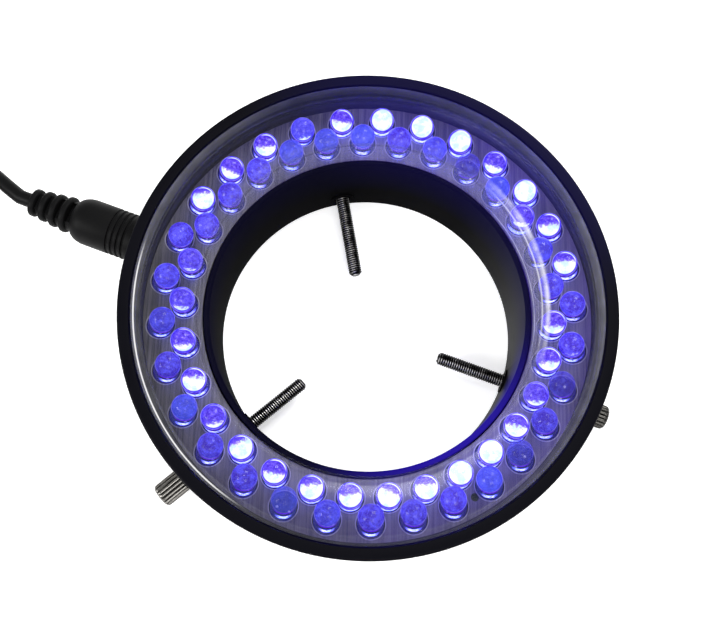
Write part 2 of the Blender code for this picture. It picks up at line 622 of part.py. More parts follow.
def make_jack():
    """The jack's local frame: Z runs outwards along the socket, X points down and Y along the ring."""
    axis = radial_axis("jack_axis", JACK_ANGLE, JACK_HEIGHT)
    half_width = JACK_BODY_WIDTH / 2
    half_height = JACK_BODY_HEIGHT / 2
    body = box("jack_body", (-half_height, -half_width, JACK_REAR), (half_height, half_width, JACK_FRONT),
               PIECES, axis)
    nose = cylinder("jack_nose", JACK_NOSE_RADIUS, JACK_FRONT - JACK_NOSE_ROOT, JACK_NOSE_END,
                    ROUND_SIDES, CUTTERS, axis)
    socket = cylinder("jack_socket", SOCKET_RADIUS, SOCKET_END, JACK_NOSE_END + CUT_OVERRUN, ROUND_SIDES,
                      CUTTERS, axis)
    slot_half = JACK_PIN_RADIUS + SEAT_GAP
    pin_slot = box("jack_pin_slot", (-half_height - CUT_OVERRUN, -slot_half, PIN_REAR - SEAT_GAP),
                   (slot_half, slot_half, SOCKET_END + SEAT_GAP), CUTTERS, axis)
    spring_half = JACK_SPRING_WIDTH / 2 + SEAT_GAP
    spring_start = SOCKET_END + JACK_SPRING_TAIL
    spring_slot = box("jack_spring_slot", (-half_height - CUT_OVERRUN, -spring_half, spring_start - SEAT_GAP),
                      (0, spring_half, spring_start + JACK_SPRING_LENGTH + SEAT_GAP), CUTTERS, axis)
    cut(body, nose, "UNION")
    cut(body, socket)
    cut(body, pin_slot)
    cut(body, spring_slot)
    finish(body, BLACK_PLASTIC)
    tail_top = -(BOARD_TOP - JACK_HEIGHT) - JACK_TAIL_ABOVE_BOARD
    tail_half = JACK_TAIL_WIDTH / 2
    pin = cylinder("jack_pin", JACK_PIN_RADIUS, PIN_REAR, PIN_REAR + JACK_PIN_LENGTH, SHANK_SIDES,
                   PIECES, axis)
    tail = box("jack_pin_tail", (tail_top, -tail_half, PIN_REAR),
               (0, tail_half, PIN_REAR + JACK_TAIL_THICKNESS), CUTTERS, axis)
    cut(pin, tail, "UNION")
    finish(pin, BRIGHT_STEEL)
    leaf_low = -(SLEEVE_RADIUS + SEAT_GAP)
    leaf = box("jack_spring", (leaf_low - JACK_SPRING_THICKNESS, -JACK_SPRING_WIDTH / 2, spring_start),
               (leaf_low, JACK_SPRING_WIDTH / 2, spring_start + JACK_SPRING_LENGTH), PIECES, axis)
    leaf_tail = box("jack_spring_tail", (tail_top, -tail_half, spring_start),
                    (leaf_low - JACK_SPRING_THICKNESS / 2, tail_half, spring_start + JACK_SPRING_TAIL),
                    CUTTERS, axis)
    cut(leaf, leaf_tail, "UNION")
    finish(leaf, BRASS)


def plug_profile():
    """Profile of the moulded plug, from the cord's end down to the face beside the wall."""
    points = [(0, PLUG_LENGTH)]
    step = (RELIEF_FIRST_RADIUS - RELIEF_LAST_RADIUS) / (RELIEF_RIBS - 1)
    for rib in range(RELIEF_RIBS):
        radius = RELIEF_LAST_RADIUS + step * rib
        top = PLUG_LENGTH - RELIEF_PITCH * rib
        bottom = top - RELIEF_PITCH + RELIEF_GAP
        if rib:
            points.append((radius - RELIEF_NOTCH, top))
        points += [(radius, top), (radius, bottom), (radius - RELIEF_NOTCH, bottom)]
    points.append((RELIEF_FIRST_RADIUS - RELIEF_NOTCH, PLUG_BODY_LENGTH))
    drop = PLUG_RADIUS - PLUG_END_RADIUS
    for i in range(PLUG_SHOULDER_STEPS + 1):
        turn = math.pi / 2 * (1 - i / PLUG_SHOULDER_STEPS)
        points.append((PLUG_END_RADIUS + drop * math.cos(turn),
                       PLUG_BODY_LENGTH - PLUG_SHOULDER * (1 - math.sin(turn))))
    for groove in reversed(range(PLUG_GROOVES)):
        low = PLUG_GROOVE_START + PLUG_GROOVE_PITCH * groove
        floor = PLUG_RADIUS - PLUG_GROOVE_DEPTH
        points += [(PLUG_RADIUS, low + PLUG_GROOVE_WIDTH), (floor, low + PLUG_GROOVE_WIDTH),
                   (floor, low), (PLUG_RADIUS, low)]
    socket = SLEEVE_RADIUS + SEAT_GAP
    depth = SLEEVE_ROOT + SEAT_GAP
    points += [(PLUG_RADIUS, PLUG_FACE_CHAMFER), (PLUG_RADIUS - PLUG_FACE_CHAMFER, 0),
               (socket, 0), (socket, depth), (0, depth)]
    return points


def make_plug(prefix, parent, shared=None):
    """Moulded body, contact sleeve and tip tube; the face beside the jack lies at local Z zero."""
    names = [prefix + ending for ending in ("_body", "_sleeve", "_tip_tube")]
    if shared:
        return [copy_of(name, piece, parent) for name, piece in zip(names, shared)]
    body = turned(names[0], plug_profile(), ROUND_SIDES, PIECES, parent=parent)
    for gap in range(1, RELIEF_RIBS + 1):
        middle = PLUG_LENGTH - RELIEF_PITCH * gap + RELIEF_GAP / 2
        low = middle - RELIEF_GAP / 2
        high = middle + RELIEF_GAP / 2
        for side in (-1, 1):
            ends = sorted((side * CORD_RADIUS, side * (PLUG_RADIUS + CUT_OVERRUN)))
            slot = box(f"relief_slot_{gap}_{side}", (ends[0], -RELIEF_SLOT_HALF_WIDTH, low),
                       (ends[1], RELIEF_SLOT_HALF_WIDTH, high), CUTTERS, parent)
            cut(body, slot)
    finish(body, PLUG_RUBBER)
    inside = SLEEVE_RADIUS - SLEEVE_WALL
    sleeve = turned(names[1], [(SLEEVE_RADIUS, SLEEVE_ROOT), (SLEEVE_RADIUS, -SLEEVE_LENGTH),
                               (inside, -SLEEVE_LENGTH), (inside, SLEEVE_ROOT)], ROUND_SIDES, PIECES,
                    closed=True, parent=parent)
    finish(sleeve, NICKEL)
    tube = inside - SEAT_GAP
    hollow = tube - TIP_TUBE_WALL
    tip = turned(names[2], [(tube, SLEEVE_ROOT), (tube, TIP_TUBE_RECESS - SLEEVE_LENGTH),
                            (hollow, TIP_TUBE_RECESS - SLEEVE_LENGTH), (hollow, SLEEVE_ROOT)], ROUND_SIDES,
                 PIECES, closed=True, parent=parent)
    finish(tip, PLUG_RUBBER)
    return [body, sleeve, tip]


def curve_through(points):
    """Fine points on a smooth curve through the given points."""
    padded = [2 * points[0] - points[1]] + points + [2 * points[-1] - points[-2]]
    fine = []
    for a, b, c, d in zip(padded, padded[1:], padded[2:], padded[3:]):
        for i in range(ROUTE_STEPS):
            t = i / ROUTE_STEPS
            fine.append(((2 * b) + (c - a) * t + (2 * a - 5 * b + 4 * c - d) * t ** 2
                         + (3 * b - a - 3 * c + d) * t ** 3) / 2)
    return fine + [points[-1]]


def cord_path(start, start_way, route, end, end_way):
    """A cord's points: straight for one diameter at both ends, smooth through the route between."""
    first = start + start_way * CORD_DIAMETER
    last = end - end_way * CORD_DIAMETER
    fine = curve_through([first] + [Vector(point) for point in route] + [last])
    spans = [(b - a).length for a, b in zip(fine, fine[1:])]
    count = round(sum(spans) / CORD_POINT_SPACING)
    step = sum(spans) / count
    points = [start, first]
    travelled = 0
    for a, b, span in zip(fine, fine[1:], spans):
        while len(points) - 1 < count and travelled + span >= step * (len(points) - 1):
            points.append(a.lerp(b, (step * (len(points) - 1) - travelled) / span))
        travelled += span
    return points + [last, end]


def tube(name, points, bevel, material):
    curve = bpy.data.curves.new(name, "CURVE")
    curve.dimensions = "3D"
    curve.twist_mode = "MINIMUM"
    spline = curve.splines.new("POLY")
    spline.points.add(len(points) - 1)
    for knot, point in zip(spline.points, points):
        knot.co = (*point, 1.0)
    curve.bevel_depth = CORD_RADIUS
    curve.bevel_resolution = bevel
    curve.use_fill_caps = True
    curve.materials.append(material)
    return new_object(name, curve, PIECES)


def coil_points():
    """A coil of piled loops: spirals in and out, climbing a layer in each half turn of reversal."""
    layer_turn = math.tau * COIL_TURNS / COIL_LAYERS
    total = math.tau * COIL_TURNS
    steps = round(COIL_TURNS * COIL_LOOP_STEPS)
    low = COIL_BOTTOM + CORD_RADIUS
    points = []
    for i in range(steps + 1):
        turn = total * i / steps
        layer = min(int(turn / layer_turn), COIL_LAYERS - 1)
        share = (turn - layer * layer_turn) / layer_turn
        inward = share if layer % 2 == 0 else 1 - share
        radius = COIL_OUTER - COIL_SPREAD * inward
        climbed = 0
        for reversal in range(1, COIL_LAYERS):
            past = (turn - reversal * layer_turn) / math.pi + 0.5
            climbed += min(max(past, 0), 1)
        azimuth = COIL_ENTRY + turn
        points.append(Vector((COIL_CENTRE[0] + radius * math.cos(azimuth),
                              COIL_CENTRE[1] + radius * math.sin(azimuth), low + climbed * LAYER_RISE)))
    start_way = Vector((-math.sin(COIL_ENTRY), math.cos(COIL_ENTRY), 0))
    last = COIL_ENTRY + total
    end_way = Vector((-math.sin(last), math.cos(last), 0))
    return [points[0] - start_way * CORD_DIAMETER] + points + [points[-1] + end_way * CORD_DIAMETER]


def least_gap(points, skip):
    """Smallest clear distance between stretches of the tube more than skip points apart."""
    least = math.inf
    for i, p in enumerate(points[:-1]):
        for j in range(i + skip, len(points) - 1):
            a, b = p, points[i + 1]
            c, d = points[j], points[j + 1]
            least = min(least, ((a + b) / 2 - (c + d) / 2).length, (a - c).length, (b - c).length)
    return least - CORD_DIAMETER


def path_length(points):
    return sum((b - a).length for a, b in zip(points, points[1:]))


def make_lead():
    ring_plug_axis = radial_axis("ring_plug_axis", JACK_ANGLE, JACK_HEIGHT)
    face_axis = new_object("ring_plug_face", None, GUIDES, ring_plug_axis)
    face_axis.location = (0, 0, PLUG_FACE)
    first = make_plug("ring_plug", face_axis)

    coil = coil_points()
    tube("cord_coil", coil, COIL_BEVEL_STEPS, CORD_BLACK)
    print(f"coil: least gap to itself {least_gap(coil, COIL_LOOP_STEPS // 2) / MM:.2f} mm")

    outward = Vector((math.cos(JACK_ANGLE), math.sin(JACK_ANGLE), 0))
    relief_end = Vector((0, 0, JACK_HEIGHT)) + outward * (PLUG_FACE + PLUG_LENGTH)
    entry_way = (coil[1] - coil[0]).normalized()
    lead = cord_path(relief_end + outward * SEAT_GAP, outward, LEAD_ROUTE,
                     coil[0] - entry_way * SEAT_GAP, entry_way)
    tube("cord_lead", lead, CORD_BEVEL_STEPS, CORD_BLACK)

    exit_way = (coil[-1] - coil[-2]).normalized()
    plug_way = Vector((0, -1, 0))
    tail_end = Vector((*FAR_PLUG_END, FAR_PLUG_HEIGHT))
    tail = cord_path(coil[-1] + exit_way * SEAT_GAP, exit_way, TAIL_ROUTE, tail_end, plug_way)
    tube("cord_tail", tail, CORD_BEVEL_STEPS, CORD_BLACK)

    far_axis = new_object("far_plug_face", None, GUIDES)
    far_axis.location = tail_end + plug_way * (SEAT_GAP + PLUG_LENGTH)
    far_axis.rotation_euler = (-math.pi / 2, 0, 0)
    make_plug("far_plug", far_axis, first)
    lengths = [path_length(points) for points in (lead, coil, tail)]
    print("cord: lead {:.4f}, coil {:.4f}, tail {:.4f} m".format(*lengths))


def make_tie():
    """A band round the coil's bundle, an open strip given its thickness outwards."""
    half_radial = COIL_SPREAD / 2 + CORD_RADIUS + SEAT_GAP
    low = COIL_BOTTOM - SEAT_GAP
    high = COIL_BOTTOM + CORD_DIAMETER + (COIL_LAYERS - 1) * LAYER_RISE + SEAT_GAP
    corner = CORD_RADIUS
    outline = []
    corners = ((half_radial - corner, high - corner), (corner - half_radial, high - corner),
               (corner - half_radial, low + corner), (half_radial - corner, low + corner))
    for quarter, (x, z) in enumerate(corners):
        start = quarter * math.pi / 2
        outline += arc((x, z), corner, start, start + math.pi / 2, TIE_CORNER_STEPS)
    form = bmesh.new()
    near = [form.verts.new((x, -TIE_WIDTH / 2, z)) for x, z in outline]
    far = [form.verts.new((x, TIE_WIDTH / 2, z)) for x, z in outline]
    for i in range(len(outline)):
        j = (i + 1) % len(outline)
        form.faces.new((near[i], near[j], far[j], far[i]))
    bmesh.ops.recalc_face_normals(form, faces=form.faces)
    mesh = bpy.data.meshes.new("cord_tie")
    form.to_mesh(mesh)
    form.free()
    tie = new_object("cord_tie", mesh, PIECES)
    thicken = tie.modifiers.new("thickness", "SOLIDIFY")
    thicken.thickness = TIE_THICKNESS
    thicken.offset = 1.0
    tie.location = (COIL_CENTRE[0] + COIL_MEAN_RADIUS * math.cos(TIE_AZIMUTH),
                    COIL_CENTRE[1] + COIL_MEAN_RADIUS * math.sin(TIE_AZIMUTH), 0)
    tie.rotation_euler = (0, 0, TIE_AZIMUTH)
    finish(tie, TIE_BLACK)


clear_scene()
PIECES = new_collection("microscope_ring_light")
CUTTERS = new_collection("cutters")
GUIDES = new_collection("guides")

BLACK_PLASTIC = new_material("black_plastic", (0.012, 0.012, 0.013), 0.45)
CLEAR_PLASTIC = new_material("clear_plastic", (0.92, 0.94, 0.97), 0.06, alpha=0.3)
BRUSHED_ALUMINIUM = new_material("brushed_aluminium", (0.55, 0.55, 0.57), 0.35, metallic=1.0)
BOARD_GREEN = new_material("led_blue", (0.10, 0.12, 0.85), 0.2)
RESISTOR_BLACK = new_material("resistor_black", (0.02, 0.02, 0.02), 0.5)
DARK_STEEL = new_material("dark_steel", (0.10, 0.10, 0.10), 0.35, metallic=1.0)
BRIGHT_STEEL = new_material("bright_steel", (0.72, 0.72, 0.70), 0.25, metallic=1.0)
BRASS = new_material("brass", (0.75, 0.55, 0.25), 0.3, metallic=1.0)
NICKEL = new_material("nickel", (0.78, 0.76, 0.72), 0.2, metallic=1.0)
PLUG_RUBBER = new_material("plug_rubber", (0.015, 0.015, 0.016), 0.6)
CORD_BLACK = new_material("cord_black", (0.015, 0.015, 0.016), 0.5)
TIE_BLACK = new_material("tie_black", (0.02, 0.02, 0.02), 0.5)

make_housing()
make_board()
make_resistors()
make_plate()
make_cover()
make_thumbscrews()
make_jack()
make_lead()
make_tie()
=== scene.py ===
"""Looks of the microscope ring light: fine surfaces, finishes, the cord, the light and the camera.

Lengths are in metres, written through MM. The ring's axis is Z, and z = 0 is the face it lies on.
"""
import math

import bmesh
import bpy
import numpy as np
from mathutils import Matrix, Vector


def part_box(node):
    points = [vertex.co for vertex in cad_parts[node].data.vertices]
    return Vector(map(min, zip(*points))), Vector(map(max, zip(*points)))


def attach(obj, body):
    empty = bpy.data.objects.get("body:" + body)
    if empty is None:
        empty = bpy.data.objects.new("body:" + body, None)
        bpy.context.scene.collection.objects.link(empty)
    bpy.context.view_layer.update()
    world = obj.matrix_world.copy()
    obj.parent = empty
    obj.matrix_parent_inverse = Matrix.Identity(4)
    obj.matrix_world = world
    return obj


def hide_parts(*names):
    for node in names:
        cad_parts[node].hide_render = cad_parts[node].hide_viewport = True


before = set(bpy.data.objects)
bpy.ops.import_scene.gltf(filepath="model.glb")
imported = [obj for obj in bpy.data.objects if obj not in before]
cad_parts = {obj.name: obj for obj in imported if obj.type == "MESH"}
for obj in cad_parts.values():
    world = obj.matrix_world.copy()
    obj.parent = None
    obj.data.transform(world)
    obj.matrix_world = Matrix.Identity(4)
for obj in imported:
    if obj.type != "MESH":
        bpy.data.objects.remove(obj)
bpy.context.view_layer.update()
scene = bpy.context.scene

MM = 0.001


def mm(*lengths):
    return tuple(length * MM for length in lengths)


# Fineness of the surfaces
RING_SIDES = 240
LENS_SIDES = 32
LENS_BANDS = 12
LENS_LEVELS = 14
HOLE_SIDES = 32
HOLE_EDGE_STEPS = 2
LEG_SIDES = 12
ROUND_SIDES = 64
CORNER_STEPS = 4
COVER_CORNER_STEPS = 8
PLUG_SHOULDER_STEPS = 8
KNOB_CAP_STEPS = 6
CORD_ROUNDNESS = 6
SMOOTH_ANGLE = math.radians(32)

# Camera fitted to the photograph, aimed at the lip
FILM_WIDTH_PX = 711
FOCAL_LENGTH_PX = 900.2
SENSOR_WIDTH_MM = 36.0
CAMERA_DISTANCE = 179.53 * MM
CAMERA_AIM_LEFT = 2.41 * MM
CAMERA_AIM_DOWN = 1.15 * MM
CAMERA_ELEVATION = math.radians(75.49)
CAMERA_ROLL = math.radians(1.788)

# Studio: the level that lights the object, and lamps as place, size and power in watts
FLOOR_SIZE = 6.0
FLOOR_DROP = 0.05 * MM
STUDIO_LEVEL = 0.55
FLOOR_GLOW = 0.55
LAMPS = (
    ((-0.62, -0.22, 0.40), 0.30, 4.0),
    ((0.30, 0.50, 0.60), 0.35, 4.0),
    ((0.20, -0.55, 0.65), 0.40, 3.0),
    ((0.05, 0.12, 0.90), 0.12, 1.0),
)

# Housing
BORE_RADIUS = 31.5 * MM
BORE_WALL = 1.2 * MM
TUBE_RADIUS = BORE_RADIUS + BORE_WALL
LIP_STEP = 0.6 * MM
FLOOR_THICKNESS = 2.0 * MM
TROUGH_TAPER = 1.0 * MM
SHELF_WIDTH = 0.6 * MM
RIM_ROUND = 0.5 * MM
RIM_INNER_ROUND = 0.15 * MM
LIP_ROUND = 0.25 * MM
BACK_ROUND = 0.5 * MM
BACK_TAPER = 2.6 * MM
RIM_BAND = 7.0 * MM
SEAT_GAP = 0.3 * MM
SCREW_COLLAR_RADIUS = 2.6 * MM
SCREW_COLLAR_PROUD = 0.4 * MM
SCREW_COLLAR_END = TUBE_RADIUS - BORE_WALL / 3
SCREW_HOLE_RADIUS = 1.75 * MM
SPOT_FACE_RADIUS = 3.0 * MM
INSERT_RADIUS = 2.5 * MM
INSERT_RECESS = 0.2 * MM
BOSS_RADIUS = 3.7 * MM
BOSS_START = TUBE_RADIUS - BORE_WALL / 4
BOSS_INSET = 1.5 * MM
CUT_OVERRUN = 1.0 * MM

# Thumbscrews; the rods' threads carry a painted highlight, brighter along the side that faces one way
SCREW_START = math.radians(101.4)
SCREW_COUNT = 3
SCREW_HEIGHT = 4.0 * MM
SCREW_RADIUS = 1.45 * MM
SCREW_TIP_LENGTH = 0.6 * MM
SCREW_TIP_RADIUS = 0.8 * MM
THREAD_PITCH = 0.5 * MM
THREAD_DEPTH = 0.22 * MM
THREAD_CREST = 1.3
THREAD_STEPS = 6
THREAD_SIDES = 28
ROD_HIGHLIGHT_SIDE = Vector((-0.30, -0.40, 0.86))
ROD_HIGHLIGHT_FROM = 0.90
ROD_HIGHLIGHT_FULL = 0.98
ROD_OFF_HIGHLIGHT = 0.66
KNOB_RADIUS = 2.58 * MM
KNOB_LENGTH = 6.0 * MM
KNOB_ROUND = 1.0 * MM
KNOB_INNER_CHAMFER = 0.4 * MM
KNOB_DISH = 0.2 * MM
KNOB_DISH_RIM = 0.45 * KNOB_RADIUS
KNOB_DISH_FLOOR = 0.35 * KNOB_RADIUS
KNOB_END_SHINE = 0.8
KNOB_FLUTES = 18
FLUTE_DEPTH = 0.3 * MM
FLUTE_POINTS = 8

# Clear cover
COVER_INNER_WALL = 0.65 * MM
COVER_SKIRT_WALL = 1.3 * MM
COVER_TOP = 1.2 * MM
COVER_INNER_ROUND = 1.8 * MM
COVER_OUTER_ROUND = 0.4 * MM
COVER_INSIDE_ROUND = 0.8 * MM
COVER_FOOT_ROUND = 0.1 * MM
COVER_SEAT_ROUND = 0.05 * MM
SKIRT_BOTTOM = 23.5 * MM

# LEDs in two rows, which stray from the even pitch in two slow waves
LED_RADIUS = 2.5 * MM
LED_BODY = 6.2 * MM
LENS_FOOT_ROUND = 0.25 * MM
LEDS_IN_ROW = 30
INNER_ROW_RADIUS = 36.4 * MM
OUTER_ROW_RADIUS = 40.15 * MM
DOME_HEIGHT = 24.5 * MM
INNER_TILT = math.radians(3.0)
OUTER_TILT = math.radians(15.0)
OUTER_ROW_START = math.radians(4.9)
INNER_ROW_START = math.radians(-1.1)
STRAY_ONCE = math.radians(2.7)
STRAY_ONCE_PEAK = math.radians(242.0)
STRAY_TWICE = math.radians(1.2)
STRAY_TWICE_PEAK = math.radians(65.0)
# How much of each dome the lit chip fills, anticlockwise from +X
OUTER_LIT_PERCENT = (15, 60, 55, 100, 40, 100, 95, 100, 50, 25, 48, 42, 70, 10, 10,
                     5, 5, 5, 5, 5, 0, 5, 5, 5, 10, 10, 0, 5, 0, 20)
INNER_LIT_PERCENT = (42, 10, 10, 32, 10, 0, 15, 15, 10, 5, 5, 10, 10, 15, 25,
                     30, 38, 62, 32, 72, 48, 62, 57, 66, 62, 92, 100, 52, 32, 45)
SEED_STEP = 1.7
# The lit patterns in the lenses face this point in front of the ring
LENS_FACING_POINT = mm(0.0, -46.0, 194.0)

# Reflector plate and board
PLATE_EDGE_ROUND = 0.08 * MM
PLATE_HOLE_GAP = 0.25 * MM
HOLE_EDGE_WIDTH = 0.22 * MM
HOLE_EDGE_PROUD = 0.06 * MM
HOLE_EDGE_ROUND = 0.03 * MM
PILOT_RADIUS = 0.8 * MM
PILOT_CENTRE_RADIUS = 41.6 * MM
PILOT_ANGLE = math.radians(301.0)
BOARD_LOW = 15.9 * MM
BOARD_HIGH = 17.3 * MM
BOARD_INNER = 33.2 * MM
BOARD_OUTER = 44.0 * MM
LEG_RADIUS = 0.25 * MM
LEG_OFFSET = 1.27 * MM
LEG_TOP = BOARD_HIGH + 1.2 * MM
RESISTOR_COUNT = 20

# Jack and plug; the strain relief's slots are cut on two sides
JACK_ANGLE = math.radians(161.2)
JACK_HEIGHT = 11.6 * MM
JACK_HOLE_RADIUS = 4.2 * MM
JACK_HOLE_RUN = 3 * CUT_OVERRUN
PLUG_RADIUS = 5.05 * MM
PLUG_BODY_LENGTH = 18.8 * MM
PLUG_SHOULDER = 3.4 * MM
PLUG_END_RADIUS = 3.2 * MM
PLUG_FACE_ROUND = 0.4 * MM
PLUG_GROOVES = 4
PLUG_GROOVE_START = 5.6 * MM
PLUG_GROOVE_PITCH = 1.17 * MM
PLUG_GROOVE_WIDTH = 0.6 * MM
PLUG_GROOVE_DEPTH = 0.35 * MM
PLUG_GROOVE_EDGE = 0.12 * MM
PLUG_GROOVE_ROUND = 0.1 * MM
RELIEF_RIBS = 4
RELIEF_PITCH = 2.55 * MM
RELIEF_GAP = 1.15 * MM
RELIEF_FIRST_RADIUS = 3.95 * MM
RELIEF_LAST_RADIUS = 3.05 * MM
RELIEF_NOTCH = 0.7 * MM
RELIEF_ROUND = 0.45 * MM
RELIEF_SLOT_HALF_WIDTH = 2.2 * MM
CHANNEL_RADIUS = 1.2 * MM
SLEEVE_RADIUS = 2.75 * MM
SLEEVE_ROOT = 1.7 * MM
PLUG_LENGTH = PLUG_BODY_LENGTH + RELIEF_RIBS * RELIEF_PITCH

# Cord: the route of the lead and the tail, the coil between them, and its tie
CORD_RADIUS = 1.6 * MM
CORD_DIAMETER = 2 * CORD_RADIUS
COIL_LAYERS = 4
COIL_TURNS = 8.25
COIL_LOOP_POINTS = 48
COIL_MEAN_RADIUS = 19.2 * MM
COIL_PITCH = 3.85 * MM
COIL_CENTRE = Vector(mm(-120.0, 21.8, 0.0))
COIL_ENTRY = math.radians(90.0)
COIL_LOW = 2.32 * MM
COIL_LAYER_RISE = 3.8 * MM
ROUTE_STEPS = 24
ROUTE_SPACING = 3.2 * MM
LEAD_ROUTE = (
    mm(-78.5, 27.9, 11.2), mm(-81.1, 30.0, 10.8), mm(-83.8, 32.2, 10.1), mm(-88.0, 35.6, 8.4),
    mm(-93.2, 39.2, 6.2), mm(-98.8, 42.2, 4.2), mm(-104.6, 44.1, 3.0), mm(-110.2, 44.9, 2.5),
)
TAIL_ROUTE = (
    mm(-143.1, 11.0, 12.6), mm(-142.9, 7.0, 11.2), mm(-142.6, 3.0, 9.4), mm(-142.3, -1.0, 7.6),
    mm(-142.1, -5.0, 6.1), mm(-142.0, -9.0, 5.3),
)
TIE_AZIMUTH = math.radians(300.0)
TIE_WIDTH = 2.5 * MM
TIE_THICKNESS = 0.4 * MM
TIE_GAP = 0.1 * MM
TIE_EDGE = 0.1 * MM
TIE_STEPS = 72

# Sides of the ring that a look keeps to: the azimuth in degrees, then the cosines of the angle
# to it between which the look fades, and the values that it fades between
# Of these, the glows place painted light of the LEDs, the knob's side painted shade, the line sides painted
# highlights, the blue side painted blue light, and the inner wall side a painted sheen
BORE_GLOSS_SIDE = (-8, 0.50, 0.97, 1.0, 0.48)
TROUGH_GLOW_SIDE = (60, 0.55, 0.92, 0.012, 0.12)
TROUGH_GLOW_BELOW = (-45, 0.5, 1.0, 0.015, 0.08)
RIM_GLOW_SIDE = (62, 0.45, 0.90, 0.004, 0.055)
LIP_GLOW_BELOW = (304, 0.45, 1.10)
LIP_GLOW_BESIDE = (35, 0.2, 0.8, 0.015, 0.045)
KNOB_PAINTED_SHADE_SIDE = (-18, 0.93, 0.98, 1.0)
PLATE_GLOW_SIDE = (5, -0.95, 0.6, 0.0, 0.15)
INNER_WALL_SIDE = (60, -0.6, 0.5)
OUTER_LINE_SIDE = (203, 0.77, 0.89, 0.0, 0.66)
INNER_LINE_SIDE = (16, 0.80, 0.97)
PAINTED_BLUE_LIGHT_SIDE = (72, 0.5, 0.95)

# Radii and heights on the housing between which a look fades in
BORE_RADII = mm(32.2, 31.9)
BORE_HEIGHTS = mm(21.2, 21.1)
TROUGH_RADII = (mm(44.0, 44.9), mm(45.85, 45.75))
TROUGH_HEIGHTS = (mm(8.0, 10.0), mm(24.0, 23.0))
RIM_RADII = mm(45.0, 45.6)
RIM_HEIGHTS = mm(26.5, 29.0)
LIP_RADII = mm(32.9, 32.4)
LIP_HEIGHTS = mm(8.0, 21.0)
LIP_GLOW = 0.62
GRAIN_DEPTH = 0.03 * MM
SCRATCH_DEPTH = 0.02 * MM

# The same on the cover; a third and fourth number are the values that the look fades between
BEND_RADII = (mm(32.74, 32.86), mm(33.22, 33.00))
BEND_HEIGHTS = mm(27.2, 27.4)
SKIRT_RADII = mm(43.5, 43.8)
SKIRT_TOP_HAZE = (*mm(44.2, 45.1), 0.62, 1.15)
SKIRT_WALL_HAZE = (*mm(26.6, 27.4), 0.62, 1.0)
# A painted glint along the skirt's foot
SKIRT_FOOT_GLINT = (*mm(24.5, 24.3), 0.0, 0.6)
SKIRT_FOOT = mm(23.75, 23.95)
SKIRT_SIDE_HAZE = (0.35, 1.0, 0.024, 0.092)
SKIRT_DULL_RADII = mm(43.0, 43.5)
SKIRT_DULL_HEIGHTS = mm(28.8, 28.4)
INNER_WALL_RADII = mm(35.0, 34.5)
TOP_HAZE = 0.004
INNER_LEAST_HAZE = 0.005
INNER_ADDED_HAZE = 0.036
# These lines are painted highlights on the cover's edges
OUTER_LINE_RADII = (mm(44.60, 44.70), mm(44.98, 44.88))
OUTER_LINE_HEIGHTS = mm(28.0, 28.5)
INNER_LINE_RADII = (mm(33.75, 34.35), mm(35.05, 34.45))
THIN_LINE_RADII = (mm(33.15, 33.30), mm(33.55, 33.40))

# Looks of a lens in lens radii from its axis, or up and down it, where they are lengths
DOME_EDGE = (1.0, 0.97)
DOME_FOOT = (-0.02, 0.05)
DISC_EDGE = (0.89, 0.80)
FILL_EDGE = (-0.10, 0.22)
FILL_SPAN = 2.5
RAGGEDNESS = 1.1
SLANT_SPAN = 2.2
CRESCENT_BAND = ((0.78, 0.84), (0.92, 0.87))
CRESCENT_ENDS = (0.45, 0.80)
CRESCENT_LEAN = 0.55
OUTLINE_BAND = ((0.93, 0.955), (1.0, 0.98))
NEAR_SIDE = (-0.45, -0.95)
UNDER_BAND = ((-0.45, -0.36), (-0.02, -0.10))
SMILE_FOOT = (-1.60, -1.54)
SMILE_TOP = (-0.92, -1.04)
SMILE_DROP = -0.35
SMILE_MIDDLE = (0.75, 0.30)
SMILE_OPACITY = 0.95
BLUE_EDGE = (0.72, 0.95, 0.0, 0.75)
SIDE_OPACITY = (0.35, 1.0, 0.05, 0.30)
UNLIT_OPACITY = (0.0, 0.08, 0.44, 1.0)
EMISSION_STRENGTHS = (1.02, 6.5)


# Mesh helpers

def added(name, data):
    item = bpy.data.objects.new(name, data)
    scene.collection.objects.link(item)
    return item


def show(name, mesh, body, slot, finish, *nodes):
    """A piece of the model: it rides on a body, and stands for the CAD nodes that are named."""
    piece = added(name, mesh)
    mesh.materials.clear()
    mesh.materials.append(finish)
    mesh.shade_smooth()
    mesh.set_sharp_from_angle(angle=SMOOTH_ANGLE)
    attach(piece, body)
    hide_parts(*nodes)
    return piece


def mesh_of(form, name):
    mesh = bpy.data.meshes.new(name)
    form.to_mesh(mesh)
    form.free()
    return mesh


def applied(item):
    """The object's mesh with its modifiers applied; the object is removed."""
    depsgraph = bpy.context.evaluated_depsgraph_get()
    depsgraph.update()
    mesh = bpy.data.meshes.new_from_object(item.evaluated_get(depsgraph))
    bpy.data.objects.remove(item, do_unlink=True)
    return mesh


def carved(mesh, cuts=(), unions=()):
    """The mesh joined with some meshes and then cut by others, each a sealed body or several."""
    item = added("carved", mesh)
    operands = []
    for operation, others in (("UNION", unions), ("DIFFERENCE", cuts)):
        for other in others:
            operand = added("operand", other)
            operands.append(operand)
            change = item.modifiers.new(operation, "BOOLEAN")
            change.operation = operation
            change.solver = "EXACT"
            change.object = operand
    mesh = applied(item)
    for operand in operands:
        bpy.data.objects.remove(operand, do_unlink=True)
    return mesh


def copies(mesh, placements):
    form = bmesh.new()
    for placement in placements:
        start = len(form.verts)
        form.from_mesh(mesh)
        form.verts.ensure_lookup_table()
        bmesh.ops.transform(form, matrix=placement, verts=form.verts[start:])
    return mesh_of(form, mesh.name)


